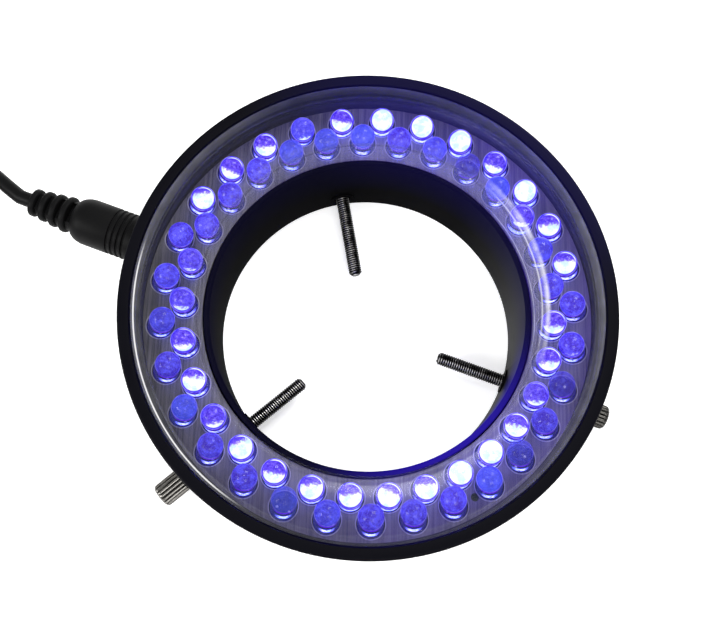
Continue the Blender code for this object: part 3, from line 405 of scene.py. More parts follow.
def rounded(corners, steps=CORNER_STEPS):
    """A closed outline of (x, y, radius) corners with each corner turned into an arc."""
    outline = []
    count = len(corners)
    for i, (x, y, radius) in enumerate(corners):
        if not radius:
            outline.append((x, y))
            continue
        here = Vector((x, y))
        back = (Vector(corners[i - 1][:2]) - here).normalized()
        ahead = (Vector(corners[(i + 1) % count][:2]) - here).normalized()
        half = back.angle(ahead) / 2
        centre = here + (back + ahead).normalized() * radius / math.sin(half)
        first = here + back * radius / math.tan(half) - centre
        last = here + ahead * radius / math.tan(half) - centre
        start = math.atan2(first.y, first.x)
        turn = math.atan2(last.y, last.x) - start
        turn = (turn + math.pi) % math.tau - math.pi
        for k in range(steps + 1):
            angle = start + turn * k / steps
            outline.append((centre.x + radius * math.cos(angle), centre.y + radius * math.sin(angle)))
    return outline


def skinned(name, rings, closed=False, capped=False, placement=None):
    """A mesh through rings of points, any of which may be a single point."""
    form = bmesh.new()
    sides = max(map(len, rings))
    rings = [[form.verts.new(point) for point in ring] * (sides // len(ring)) for ring in rings]
    for near, far in zip(rings, rings[1:] + rings[:1] if closed else rings[1:]):
        for i in range(sides):
            j = (i + 1) % sides
            corners = tuple(dict.fromkeys((near[i], near[j], far[j], far[i])))
            if len(corners) > 2:
                form.faces.new(corners)
    if capped:
        form.faces.new(rings[0][::-1])
        form.faces.new(rings[-1])
    bmesh.ops.recalc_face_normals(form, faces=form.faces)
    if placement:
        bmesh.ops.transform(form, matrix=placement, verts=form.verts)
    return mesh_of(form, name)


def circle(radius, height, sides):
    turns = [math.tau * i / sides for i in range(sides)]
    return [(radius * math.cos(turn), radius * math.sin(turn), height) for turn in turns]


def turned(name, outline, sides, closed=True, placement=None):
    """A (radius, height) outline turned round Z; an open one starts and ends on the axis."""
    rings = [circle(radius, height, sides if radius else 1) for radius, height in outline]
    return skinned(name, rings, closed, placement=placement)


def drum(name, radius, low, high, sides=ROUND_SIDES, placement=None):
    return turned(name, [(0, high), (radius, high), (radius, low), (0, low)], sides, False, placement)


def block(low, high):
    form = bmesh.new()
    bmesh.ops.create_cube(form, size=1.0)
    bmesh.ops.scale(form, vec=Vector(high) - Vector(low), verts=form.verts)
    bmesh.ops.translate(form, vec=(Vector(high) + Vector(low)) / 2, verts=form.verts)
    return mesh_of(form, "block")


def heading(angle):
    return Vector((math.cos(angle), math.sin(angle), 0))


def turn_about_z(angle):
    return Matrix.Rotation(angle, 4, "Z")


def outwards(angle, height, start=0):
    """Placement whose Z runs outwards from the ring's axis at an angle and a height."""
    turn = turn_about_z(angle) @ Matrix.Rotation(math.pi / 2, 4, "Y")
    return Matrix.Translation((0, 0, height)) @ turn @ Matrix.Translation((0, 0, start))


def screw_angles():
    return [SCREW_START + math.tau * i / SCREW_COUNT for i in range(SCREW_COUNT)]


def reach(node, axis):
    """The least and the greatest distance of a CAD node's points along an axis."""
    along = [Vector(v.co).dot(axis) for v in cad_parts[node].data.vertices]
    return min(along), max(along)


def node_ring(name):
    """(least radius, greatest radius, low, high) of a CAD node turned round the axis."""
    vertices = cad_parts[name].data.vertices
    radii = [math.hypot(v.co.x, v.co.y) for v in vertices]
    heights = [v.co.z for v in vertices]
    return min(radii), max(radii), min(heights), max(heights)


# Material helpers

class Finish:
    """A material's node tree, built up from a Principled shader."""

    def __init__(self, name):
        self.material = bpy.data.materials.new(name)
        self.material.use_nodes = True
        self.tree = self.material.node_tree
        self.shader = self.tree.nodes["Principled BSDF"]
        self.output = self.tree.nodes["Material Output"]
        self.coordinates = self.tree.nodes.new("ShaderNodeTexCoord").outputs["Object"]

    def node(self, kind, **inputs):
        made = self.tree.nodes.new(kind)
        for key, value in inputs.items():
            self.feed(made.inputs[key.replace("_", " ")], value)
        return made

    def feed(self, socket, value):
        if isinstance(value, bpy.types.NodeSocket):
            self.tree.links.new(value, socket)
        else:
            socket.default_value = value

    def set(self, **inputs):
        for key, value in inputs.items():
            self.feed(self.shader.inputs[key.replace("_", " ")], value)

    def math(self, operation, first, second=0.0, third=0.0):
        made = self.tree.nodes.new("ShaderNodeMath")
        made.operation = operation
        for socket, value in zip(made.inputs, (first, second, third)):
            self.feed(socket, value)
        return made.outputs[0]

    def chain(self, operation, first, *others):
        for other in others:
            first = self.math(operation, first, other)
        return first

    def times(self, *values):
        return self.chain("MULTIPLY", *values)

    def plus(self, *values):
        return self.chain("ADD", *values)

    def most(self, *values):
        return self.chain("MAXIMUM", *values)

    def scaled(self, scale):
        """Object coordinates stretched by three factors."""
        made = self.node("ShaderNodeMapping", Vector=self.coordinates)
        made.inputs["Scale"].default_value = scale
        return made.outputs["Vector"]

    def noise(self, scale, detail=3.0, roughness=0.55, vector=None):
        made = self.node("ShaderNodeTexNoise", Scale=scale, Detail=detail, Roughness=roughness)
        self.feed(made.inputs["Vector"], vector or self.coordinates)
        return made.outputs[0]

    def mark(self, name):
        """The node that reads a value kept on the mesh's points."""
        made = self.tree.nodes.new("ShaderNodeAttribute")
        made.attribute_name = name
        return made

    def spread(self, value, low, high, to_low=0.0, to_high=1.0, smooth=False):
        made = self.node("ShaderNodeMapRange", Value=value)
        made.interpolation_type = "SMOOTHSTEP" if smooth else "LINEAR"
        for key, number in (("From Min", low), ("From Max", high), ("To Min", to_low), ("To Max", to_high)):
            self.feed(made.inputs[key], number)
        return made.outputs[0]

    def within(self, value, edges, smooth=False):
        """1 between two soft edges, 0 past them."""
        return self.times(*(self.spread(value, *edge, smooth=smooth) for edge in edges))

    def blend(self, share, first, second):
        made = self.tree.nodes.new("ShaderNodeMix")
        made.data_type = "RGBA"
        self.feed(made.inputs[0], share)
        self.feed(made.inputs[6], (*first, 1.0) if isinstance(first, tuple) else first)
        self.feed(made.inputs[7], (*second, 1.0) if isinstance(second, tuple) else second)
        return made.outputs[2]

    def bump(self, height, strength, distance):
        made = self.node("ShaderNodeBump", Height=height, Strength=strength, Distance=distance)
        self.set(Normal=made.outputs[0])

    def distance(self, x, y):
        return self.math("SQRT", self.plus(self.times(x, x), self.times(y, y)))

    def place(self):
        """Distance from the ring's axis, and the three coordinates."""
        parts = self.node("ShaderNodeSeparateXYZ", Vector=self.coordinates).outputs
        return self.distance(parts[0], parts[1]), parts

    def towards(self, degrees):
        """How far a point's direction from the axis agrees with another, from -1 to 1."""
        angle = math.radians(degrees)
        radius, parts = self.place()
        along = self.plus(self.times(parts[0], math.cos(angle)), self.times(parts[1], math.sin(angle)))
        return self.math("DIVIDE", along, radius)

    def side(self, degrees, *span, smooth=False):
        return self.spread(self.towards(degrees), *span, smooth=smooth)

    def over_clear(self, share, colour):
        """The material shows so much of its shader, and is clear for the rest."""
        clear = self.node("ShaderNodeBsdfTransparent", Color=colour)
        mixed = self.node("ShaderNodeMixShader", Fac=share)
        self.tree.links.new(clear.outputs[0], mixed.inputs[1])
        self.tree.links.new(self.shader.outputs[0], mixed.inputs[2])
        self.tree.links.new(mixed.outputs[0], self.output.inputs["Surface"])
        return self.material


def moulded_black(name, shade, roughness, grain_scale, gloss=0.15):
    """Moulded plastic: nearly black, with a faint orange-peel skin and uneven gloss."""
    finish = Finish(name)
    cloud = finish.noise(90.0, 4.0)
    grain = finish.noise(grain_scale, 2.0)
    darker, lighter = tuple(0.7 * c for c in shade), tuple(1.4 * c for c in shade)
    finish.set(Base_Color=finish.blend(cloud, darker, lighter))
    finish.set(Roughness=finish.spread(cloud, 0.3, 0.7, roughness - 0.07, roughness + 0.08))
    finish.shader.inputs["Specular IOR Level"].default_value = gloss
    finish.bump(grain, 0.25, GRAIN_DEPTH)
    return finish


def vinyl_finish(name, roughness):
    return moulded_black(name, (0.0030, 0.0030, 0.0032), roughness, 1500.0, 0.07).material


def housing_finish():
    finish = moulded_black("satin_black_plastic", (0.0026, 0.0026, 0.0030), 0.45, 2600.0, 0.03)
    spread, times, plus, most, within, side = (finish.spread, finish.times, finish.plus, finish.most,
                                               finish.within, finish.side)
    radius, parts = finish.place()
    height = parts[2]
    # The bore's wall is matt but for the side that faces -X
    bore = times(spread(radius, *BORE_RADII), spread(height, *BORE_HEIGHTS))
    matt = side(*BORE_GLOSS_SIDE)
    skin = spread(finish.noise(90.0, 4.0), 0.3, 0.7, 0.40, 0.54)
    finish.set(Roughness=most(skin, times(bore, matt)))
    # Painted glow: the LEDs' light is painted on the plastic round them as emission, most on the +X +Y side
    # and at the lip below
    trough = times(within(radius, TROUGH_RADII), within(height, TROUGH_HEIGHTS),
                   most(side(*TROUGH_GLOW_SIDE, smooth=True), side(*TROUGH_GLOW_BELOW)))
    rim = times(spread(height, *RIM_HEIGHTS), spread(radius, *RIM_RADII),
                side(*RIM_GLOW_SIDE, smooth=True))
    below = side(*LIP_GLOW_BELOW, smooth=True)
    beside = side(*LIP_GLOW_BESIDE, smooth=True)
    lip = times(spread(radius, *LIP_RADII), spread(height, *LIP_HEIGHTS),
                plus(times(below, below, LIP_GLOW), beside))
    glow = plus(trough, rim, lip)
    finish.set(Emission_Color=(0.030, 0.008, 0.62, 1.0), Emission_Strength=glow)
    return finish.material


def scratched(finish, cloud, colour, roughness):
    finish.set(Base_Color=colour, Metallic=1.0)
    finish.set(Roughness=finish.spread(cloud, 0.25, 0.75, roughness - 0.05, roughness + 0.10))
    finish.bump(cloud, 0.15, SCRATCH_DEPTH)
    return finish.material


def metal(name, colour, roughness, scale=400.0):
    finish = Finish(name)
    cloud = finish.noise(scale, 4.0, 0.6)
    darker = tuple(0.8 * c for c in colour)
    return scratched(finish, cloud, finish.blend(cloud, darker, colour), roughness)


def cut_metal(name, valley, crest, roughness, low, shade=1.0):
    """Metal with threads or flutes: painted shade darkens the grooves and the crests are bright; on the
    rods the bright crests are a painted highlight.
    """
    finish = Finish(name)
    cloud = finish.noise(500.0, 4.0, 0.6)
    share = finish.plus(finish.mark("crest").outputs["Fac"],
                        finish.spread(cloud, 0.3, 0.7, -0.12, 0.12))
    share = finish.spread(share, low, 0.98, smooth=True)
    # Painted shade: the crests on the side of the third screw are darkened
    share = finish.times(share, finish.side(*KNOB_PAINTED_SHADE_SIDE, shade))
    return scratched(finish, cloud, finish.blend(share, valley, crest), roughness)


def plate_finish(name, dark, light):
    """Aluminium brushed along Y, with the LEDs' light painted on it as a glow."""
    finish = Finish(name)
    streaks = finish.noise(1.0, 5.0, 0.65, finish.scaled((2600.0, 60.0, 60.0)))
    patches = finish.noise(70.0, 3.0)
    tone = finish.plus(finish.times(streaks, 0.7), finish.times(patches, 0.3))
    finish.set(Base_Color=finish.blend(finish.spread(tone, 0.34, 0.66), dark, light), Metallic=0.55)
    finish.set(Roughness=finish.spread(streaks, 0.3, 0.7, 0.48, 0.64))
    # Painted glow of the LEDs' light, strongest towards +X
    glow = finish.times(finish.side(*PLATE_GLOW_SIDE), finish.spread(patches, 0.35, 0.65, 0.6, 1.4))
    finish.set(Emission_Color=(0.12, 0.04, 1.0, 1.0), Emission_Strength=glow)
    finish.bump(streaks, 0.35, SCRATCH_DEPTH)
    return finish.material


def cover_finish():
    """Clear acrylic: the flat top lets nearly all through, the walls are hazier and finely streaked."""
    finish = Finish("clear_acrylic")
    spread, times, plus, most, within, side, blend = (finish.spread, finish.times, finish.plus,
                                                      finish.most, finish.within, finish.side,
                                                      finish.blend)
    radius, parts = finish.place()
    height = parts[2]
    # Painted shade: the foot of the inner round is tinted darker, so it shows as a thin dark line
    bend = times(within(radius, BEND_RADII), spread(height, *BEND_HEIGHTS))
    skirt = times(spread(radius, *SKIRT_TOP_HAZE), spread(height, *SKIRT_WALL_HAZE))
    # Painted glint: more haze along the skirt's foot
    skirt = plus(skirt, spread(height, *SKIRT_FOOT_GLINT))
    skirt = times(skirt, spread(height, *SKIRT_FOOT), spread(radius, *SKIRT_RADII))
    inner = spread(radius, *INNER_WALL_RADII)
    streaks = finish.noise(1.0, 4.0, 0.6, finish.scaled((420.0, 420.0, 60.0)))
    streaks = spread(streaks, 0.35, 0.70)
    # The walls' haze is real, but it varies by side as a painted sheen: the skirt is clearest at +Y and -Y,
    # the inner wall at the side away from +X +Y
    sideways = finish.math("ABSOLUTE", finish.towards(0))
    skirt_haze = times(spread(sideways, *SKIRT_SIDE_HAZE), spread(streaks, 0.0, 1.0, 0.75, 1.30))
    inner_side = side(*INNER_WALL_SIDE, smooth=True)
    inner_haze = plus(times(inner_side, INNER_ADDED_HAZE), INNER_LEAST_HAZE)
    inner_haze = times(inner_haze, spread(streaks, 0.0, 1.0, 0.4, 1.4))
    haze = plus(times(skirt, skirt_haze), times(inner, inner_haze), TOP_HAZE)
    dulled = most(times(inner, spread(inner_side, 0.0, 1.0, 0.90, 0.50)),
                  times(spread(radius, *SKIRT_DULL_RADII), spread(height, *SKIRT_DULL_HEIGHTS)))
    mirror = times(finish.node("ShaderNodeFresnel", IOR=1.49).outputs[0],
                   spread(dulled, 0.0, 1.0, 0.30, 0.03))
    # Painted highlights on the edges: white lines, the outer one at -X, the inner one at +X
    outer_edge_highlight = times(within(radius, OUTER_LINE_RADII), side(*OUTER_LINE_SIDE, smooth=True),
                       spread(height, *OUTER_LINE_HEIGHTS))
    inner_edge_highlight = times(within(radius, INNER_LINE_RADII, smooth=True),
                       spread(streaks, 0.0, 1.0, 0.22, 0.55))
    thin_edge_highlight = times(within(radius, THIN_LINE_RADII), 0.5)
    inner_edge_highlight = times(most(inner_edge_highlight, thin_edge_highlight), side(*INNER_LINE_SIDE, smooth=True))
    edge = most(outer_edge_highlight, inner_edge_highlight)
    # Painted light: the haze is tinted blue towards +X +Y, the LEDs' light on it
    painted_blue_light = blend(side(*PAINTED_BLUE_LIGHT_SIDE, smooth=True), (0.58, 0.58, 0.61), (0.40, 0.40, 0.92))
    finish.set(Base_Color=blend(edge, painted_blue_light, (0.95, 0.94, 0.93)))
    finish.set(Roughness=spread(haze, 0.006, 0.03, 0.10, 0.45))
    finish.set(Metallic=spread(haze, 0.006, 0.03, 0.5, 0.1))
    share = plus(mirror, haze, times(edge, 0.9))
    return finish.over_clear(finish.math("MINIMUM", share, 0.95),
                             blend(bend, (0.97, 0.97, 0.985), (0.74, 0.74, 0.72)))


def lens_finish():
    """Clear blue epoxy, lit from inside, clearer down the sides than in the dome.

    Each lens carries its own place across and along the way it faces, its share of light,
    a seed for its mottling, and the height on the lens. All are in lens radii.
    """
    finish = Finish("blue_led_epoxy")
    spread, times, plus, most, within, blend = (finish.spread, finish.times, finish.plus, finish.most,
                                                finish.within, finish.blend)
    place = finish.mark("lens_place").outputs["Vector"]
    x, y, depth = finish.node("ShaderNodeSeparateXYZ", Vector=place).outputs
    facts = finish.mark("lens_light").outputs["Vector"]
    lit, seed, height = finish.node("ShaderNodeSeparateXYZ", Vector=facts).outputs
    shifted = finish.node("ShaderNodeCombineXYZ", X=seed, Y=seed).outputs[0]
    spot = finish.node("ShaderNodeVectorMath")
    spot.operation = "ADD"
    finish.feed(spot.inputs[0], place)
    finish.feed(spot.inputs[1], shifted)
    cloud = finish.noise(1.6, 4.0, 0.6, spot.outputs[0])
    fine = finish.noise(4.5, 4.0, 0.65, spot.outputs[0])
    off_axis = finish.distance(x, y)
    dome = times(spread(off_axis, *DOME_EDGE), spread(depth, *DOME_FOOT))
    # The chip's image fills the dome from the low side up to a ragged line
    wave = times(finish.math("SUBTRACT", fine, 0.5), RAGGEDNESS)
    slant = times(finish.math("SUBTRACT", finish.noise(3.7, 0.0, 0.5, shifted), 0.5), SLANT_SPAN)
    across = plus(times(x, slant), y, wave)
    level = plus(times(lit, FILL_SPAN), -FILL_SPAN / 2)
    filled = spread(finish.math("SUBTRACT", level, across), *FILL_EDGE, smooth=True)
    disc = spread(off_axis, *DISC_EDGE, smooth=True)
    core = times(filled, disc)
    # A thin bright crescent runs along the far edge of a lit dome
    lean = plus(times(x, CRESCENT_LEAN), y)
    crescent = times(within(off_axis, CRESCENT_BAND), spread(lean, *CRESCENT_ENDS),
                     spread(lit, 0.20, 0.45))
    # Small glints wander over the part that isn't filled
    glint = times(spread(fine, 0.60, 0.72), spread(lit, 0.0, 0.5, 0.10, 0.55), disc)
    white = times(most(core, crescent, glint), dome)
    # An outline, thin and pale, closes the dome
    outline = times(within(off_axis, OUTLINE_BAND), dome, spread(cloud, 0.36, 0.56),
                    spread(lit, 0.0, 0.4, 0.45, 1.0))
    # Down the near side: a violet line under the dome, and a bright smile above the plate
    near = spread(y, *NEAR_SIDE)
    off_dome = finish.math("SUBTRACT", 1.0, dome)
    under = times(within(height, UNDER_BAND), near, off_dome)
    raised = plus(times(lit, SMILE_DROP), height)
    middle = spread(finish.math("ABSOLUTE", x), *SMILE_MIDDLE)
    smile = times(spread(height, *SMILE_FOOT), spread(raised, *SMILE_TOP), near, off_dome,
                  spread(fine, 0.34, 0.50, 0.35, 1.0), most(spread(lit, 0.1, 0.35), middle))
    white = most(white, smile)
    pale = plus(times(cloud, 0.6), times(fine, 0.4))
    dim = blend(spread(pale, 0.43, 0.58), (0.040, 0.016, 0.42), (0.095, 0.085, 0.92))
    # Some unlit ones are nearer to cyan
    hue = spread(finish.noise(2.9, 0.0, 0.5, shifted), 0.50, 0.62, 0.0, 0.45)
    dim = blend(hue, dim, (0.040, 0.120, 0.80))
    lively = blend(spread(fine, 0.38, 0.62), (0.036, 0.0, 0.50), (0.16, 0.08, 0.95))
    body = blend(spread(lit, 0.12, 0.45), dim, lively)
    rim_blue = times(spread(off_axis, *BLUE_EDGE), spread(lit, 0.0, 0.4, 0.3, 1.0))
    body = blend(rim_blue, body, (0.015, 0.0, 0.85))
    body = blend(outline, body, (0.42, 0.37, 1.0))
    body = blend(under, body, (0.10, 0.0, 0.80))
    whites = blend(spread(cloud, 0.42, 0.56), (0.115, 0.155, 0.95), (0.19, 0.20, 1.0))
    finish.set(Emission_Color=blend(white, body, whites))
    finish.set(Emission_Strength=spread(white, 0.0, 1.0, *EMISSION_STRENGTHS))
    finish.set(Base_Color=(0.02, 0.012, 0.18, 1.0), Roughness=0.10)
    finish.shader.inputs["Specular IOR Level"].default_value = 0.22
    edge = finish.node("ShaderNodeLayerWeight", Blend=0.3).outputs["Facing"]
    # An unlit dome is clearer
    share = most(spread(edge, *SIDE_OPACITY), times(dome, spread(lit, *UNLIT_OPACITY)),
                 times(most(under, smile), SMILE_OPACITY))
    return finish.over_clear(share, (0.86, 0.86, 0.97, 1.0))


# Stage, light and camera

def make_camera():
    right = Vector((1, 0, 0))
    up = Vector((0, math.sin(CAMERA_ELEVATION), math.cos(CAMERA_ELEVATION)))
    ahead = Vector((0, math.cos(CAMERA_ELEVATION), -math.sin(CAMERA_ELEVATION)))
    cos, sin = math.cos(CAMERA_ROLL), math.sin(CAMERA_ROLL)
    rolled_right = cos * right + sin * up
    rolled_up = cos * up - sin * right
    lip = Vector((0, 0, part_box("reflector_plate")[1].z + LIP_STEP))
    camera = added("camera", bpy.data.cameras.new("camera"))
    place = lip - ahead * CAMERA_DISTANCE - rolled_right * CAMERA_AIM_LEFT - rolled_up * CAMERA_AIM_DOWN
    axes = Matrix((rolled_right, rolled_up, -ahead)).transposed().to_4x4()
    camera.matrix_world = Matrix.Translation(place) @ axes
    camera.data.sensor_width = SENSOR_WIDTH_MM
    camera.data.lens = FOCAL_LENGTH_PX / FILM_WIDTH_PX * SENSOR_WIDTH_MM
    camera.data.clip_start = MM
    scene.camera = camera


def make_stage():
    form = bmesh.new()
    bmesh.ops.create_grid(form, x_segments=1, y_segments=1, size=FLOOR_SIZE / 2)
    floor = added("floor", mesh_of(form, "floor"))
    floor.location.z = -FLOOR_DROP
    finish = Finish("white_floor")
    finish.set(Base_Color=(0.92, 0.92, 0.92, 1.0), Roughness=0.9)
    path = finish.node("ShaderNodeLightPath").outputs
    seen = finish.most(path["Is Camera Ray"], path["Is Glossy Ray"], path["Is Transmission Ray"])
    finish.set(Emission_Color=(1.0, 1.0, 1.0, 1.0), Emission_Strength=finish.times(seen, FLOOR_GLOW))
    floor.data.materials.append(finish.material)
    world = bpy.data.worlds.new("studio")
    scene.world = world
    world.use_nodes = True
    background = world.node_tree.nodes["Background"]
    background.inputs["Color"].default_value = (1.0, 1.0, 1.0, 1.0)
    # The camera sees a white studio, which lights the object at a plainer level
    path = world.node_tree.nodes.new("ShaderNodeLightPath")
    level = world.node_tree.nodes.new("ShaderNodeMapRange")
    level.inputs["To Min"].default_value = STUDIO_LEVEL
    world.node_tree.links.new(path.outputs["Is Camera Ray"], level.inputs["Value"])
    world.node_tree.links.new(level.outputs[0], background.inputs["Strength"])
    for index, (place, size, power) in enumerate(LAMPS):
        lamp = bpy.data.lights.new(f"softbox_{index + 1}", "AREA")
        lamp.size = size
        lamp.energy = power
        item = added(lamp.name, lamp)
        item.location = place
        item.rotation_euler = (-Vector(place)).to_track_quat("-Z", "Y").to_euler()
    scene.view_settings.view_transform = "Standard"


# Cord and plugs

def curve_through(points):
    padded = [2 * points[0] - points[1]] + points + [2 * points[-1] - points[-2]]
    fine = []
    for a, b, c, d in zip(padded, padded[1:], padded[2:], padded[3:]):
        for i in range(ROUTE_STEPS):
            t = i / ROUTE_STEPS
            fine.append(((2 * b) + (c - a) * t + (2 * a - 5 * b + 4 * c - d) * t ** 2
                         + (3 * b - a - 3 * c + d) * t ** 3) / 2)
    return fine + [points[-1]]


def spaced(points, spacing):
    spans = [(b - a).length for a, b in zip(points, points[1:])]
    count = round(sum(spans) / spacing)
    step = sum(spans) / count
    result = [points[0]]
    travelled = 0
    for a, b, span in zip(points, points[1:], spans):
        while len(result) < count and travelled + span >= step * len(result):
            result.append(a.lerp(b, (step * len(result) - travelled) / span))
        travelled += span
    return result + [points[-1]]


def coil_point(turn):
    """The cord's centre after so much of a turn: its loops spiral in and out, each layer higher."""
    spread = COIL_PITCH * COIL_TURNS / COIL_LAYERS
    layer_turn = math.tau * COIL_TURNS / COIL_LAYERS
    layer = min(int(turn / layer_turn), COIL_LAYERS - 1)
    share = (turn - layer * layer_turn) / layer_turn
    inward = share if layer % 2 == 0 else 1 - share
    radius = COIL_MEAN_RADIUS + spread / 2 - spread * inward
    climbed = 0
    for reversal in range(1, COIL_LAYERS):
        past = min(max((turn - reversal * layer_turn) / math.pi + 0.5, 0), 1)
        climbed += past * past * (3 - 2 * past)
    height = COIL_LOW + climbed * COIL_LAYER_RISE
    return COIL_CENTRE + heading(COIL_ENTRY + turn) * radius + Vector((0, 0, height))


def coil_points():
    steps = round(COIL_TURNS * COIL_LOOP_POINTS)
    return [coil_point(math.tau * COIL_TURNS * i / steps) for i in range(steps + 1)]


def make_cord(relief_end, outward, far_end):
    """One cord from the ring plug's strain relief through the coil to the supply plug."""
    coil = coil_points()
    entry_way = heading(COIL_ENTRY + math.pi / 2)
    exit_way = heading(COIL_ENTRY + math.tau * COIL_TURNS + math.pi / 2)
    plug_way = Vector((0, -1, 0))
    lead = [relief_end, relief_end + outward * CORD_DIAMETER, *map(Vector, LEAD_ROUTE),
            coil[0] - entry_way * CORD_DIAMETER * 2, coil[0]]
    tail = [coil[-1], coil[-1] + exit_way * CORD_DIAMETER, *map(Vector, TAIL_ROUTE),
            far_end - plug_way * CORD_DIAMETER, far_end]
    points = spaced(curve_through(lead), ROUTE_SPACING)[:-1] + coil
    points += spaced(curve_through(tail), ROUTE_SPACING)[1:]
    curve = bpy.data.curves.new("power_cord", "CURVE")
    curve.dimensions = "3D"
    spline = curve.splines.new("POLY")
    spline.points.add(len(points) - 1)
    for knot, point in zip(spline.points, points):
        knot.co = (*point, 1.0)
    curve.bevel_depth = CORD_RADIUS
    curve.bevel_resolution = CORD_ROUNDNESS
    curve.use_fill_caps = True
    cord = added("power_cord", curve)
    curve.materials.append(vinyl_finish("cord_vinyl", 0.40))
    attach(cord, "ring")
    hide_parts("cord_lead", "cord_coil", "cord_tail")
    length = sum((b - a).length for a, b in zip(points, points[1:]))
    return cord, length


def plug_mesh():
    """The plug's body is turned, then the strain relief's slots are cut on two sides."""
    corners = [(CHANNEL_RADIUS, PLUG_LENGTH, 0)]
    step = (RELIEF_FIRST_RADIUS - RELIEF_LAST_RADIUS) / (RELIEF_RIBS - 1)
    for rib in range(RELIEF_RIBS):
        radius = RELIEF_LAST_RADIUS + step * rib
        top = PLUG_LENGTH - RELIEF_PITCH * rib
        bottom = top - RELIEF_PITCH + RELIEF_GAP
        if rib:
            corners.append((radius - RELIEF_NOTCH, top, 0))
        corners += [(radius, top, RELIEF_ROUND), (radius, bottom, RELIEF_ROUND),
                    (radius - RELIEF_NOTCH, bottom, 0)]
    corners.append((RELIEF_FIRST_RADIUS - RELIEF_NOTCH, PLUG_BODY_LENGTH, 0))
    corners.append((PLUG_END_RADIUS, PLUG_BODY_LENGTH, 0))
    drop = PLUG_RADIUS - PLUG_END_RADIUS
    for i in range(1, PLUG_SHOULDER_STEPS + 1):
        turn = math.pi / 2 * (1 - i / PLUG_SHOULDER_STEPS)
        corners.append((PLUG_END_RADIUS + drop * math.cos(turn),
                        PLUG_BODY_LENGTH - PLUG_SHOULDER * (1 - math.sin(turn)), 0))
    floor = PLUG_RADIUS - PLUG_GROOVE_DEPTH
    for groove in reversed(range(PLUG_GROOVES)):
        low = PLUG_GROOVE_START + PLUG_GROOVE_PITCH * groove
        high = low + PLUG_GROOVE_WIDTH
        corners += [(PLUG_RADIUS, high, PLUG_GROOVE_EDGE), (floor, high, PLUG_GROOVE_ROUND),
                    (floor, low, PLUG_GROOVE_ROUND), (PLUG_RADIUS, low, PLUG_GROOVE_EDGE)]
    socket = SLEEVE_RADIUS + SEAT_GAP
    depth = SLEEVE_ROOT + SEAT_GAP
    corners += [(PLUG_RADIUS, 0, PLUG_FACE_ROUND), (socket, 0, 0), (socket, depth, 0),
                (CHANNEL_RADIUS, depth, 0)]
    slots = []
    for gap in range(1, RELIEF_RIBS + 1):
        low = PLUG_LENGTH - RELIEF_PITCH * gap
        for ends in ((-PLUG_RADIUS - CUT_OVERRUN, -CORD_RADIUS), (CORD_RADIUS, PLUG_RADIUS + CUT_OVERRUN)):
            slots.append(block((ends[0], -RELIEF_SLOT_HALF_WIDTH, low),
                               (ends[1], RELIEF_SLOT_HALF_WIDTH, low + RELIEF_GAP)))
    return carved(turned("plug", rounded(corners), ROUND_SIDES), slots)


def make_lead():
    """Both plugs, the cord between them and the tie round its coil."""
    outward = heading(JACK_ANGLE)
    face = reach("ring_plug_body", outward)[0]
    near_place = outwards(JACK_ANGLE, JACK_HEIGHT, face)
    relief_end = near_place @ Vector((0, 0, PLUG_LENGTH))
    low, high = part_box("far_plug_body")
    far_end = Vector(((low.x + high.x) / 2, high.y, (low.z + high.z) / 2))
    far_place = Matrix.Translation((far_end.x, far_end.y - PLUG_LENGTH, far_end.z))
    far_place @= Matrix.Rotation(-math.pi / 2, 4, "X")
    cord, length = make_cord(relief_end, outward, far_end)
    rubber = vinyl_finish("plug_vinyl", 0.5)
    far = plug_mesh()
    near = far.copy()
    near.transform(near_place)
    far.transform(far_place)
    near_plug = show("plug_at_ring", near, "ring", "plug_rubber", rubber, "ring_plug_body")
    far_plug = show("plug_at_supply", far, "ring", "plug_rubber", rubber, "far_plug_body")
    tie = make_tie()


def make_tie():
    """A strip drawn tight round the strands of the coil that pass its place."""
    radial = heading(TIE_AZIMUTH)
    tangent = heading(TIE_AZIMUTH + math.pi / 2)
    strands = []
    for side in (-1, 0, 1):
        turn = (TIE_AZIMUTH - COIL_ENTRY + side * TIE_WIDTH / 2 / COIL_MEAN_RADIUS) % math.tau
        while turn < math.tau * COIL_TURNS:
            place = coil_point(turn)
            strands.append(Vector(((place - COIL_CENTRE).dot(radial), place.z)))
            turn += math.tau
    rings = []
    for proud, side in ((0, -1), (TIE_THICKNESS, -1), (TIE_THICKNESS, 1), (0, 1)):
        middle = COIL_CENTRE + tangent * (side * TIE_WIDTH / 2)
        rings.append([])
        for step in range(TIE_STEPS):
            way = Vector((math.cos(math.tau * step / TIE_STEPS), math.sin(math.tau * step / TIE_STEPS)))
            corner = max(strands, key=way.dot) + way * (CORD_RADIUS + TIE_GAP + proud)
            rings[-1].append(middle + radial * corner.x + Vector((0, 0, corner.y)))
    tie = added("tie", skinned("coil_tie", rings, closed=True))
    edges = tie.modifiers.new("edges", "BEVEL")
    edges.width = TIE_EDGE
    edges.segments = 2
    return show("coil_tie", applied(tie), "ring", "tie_black", vinyl_finish("tie_plastic", 0.5), "cord_tie")


# Ring pieces

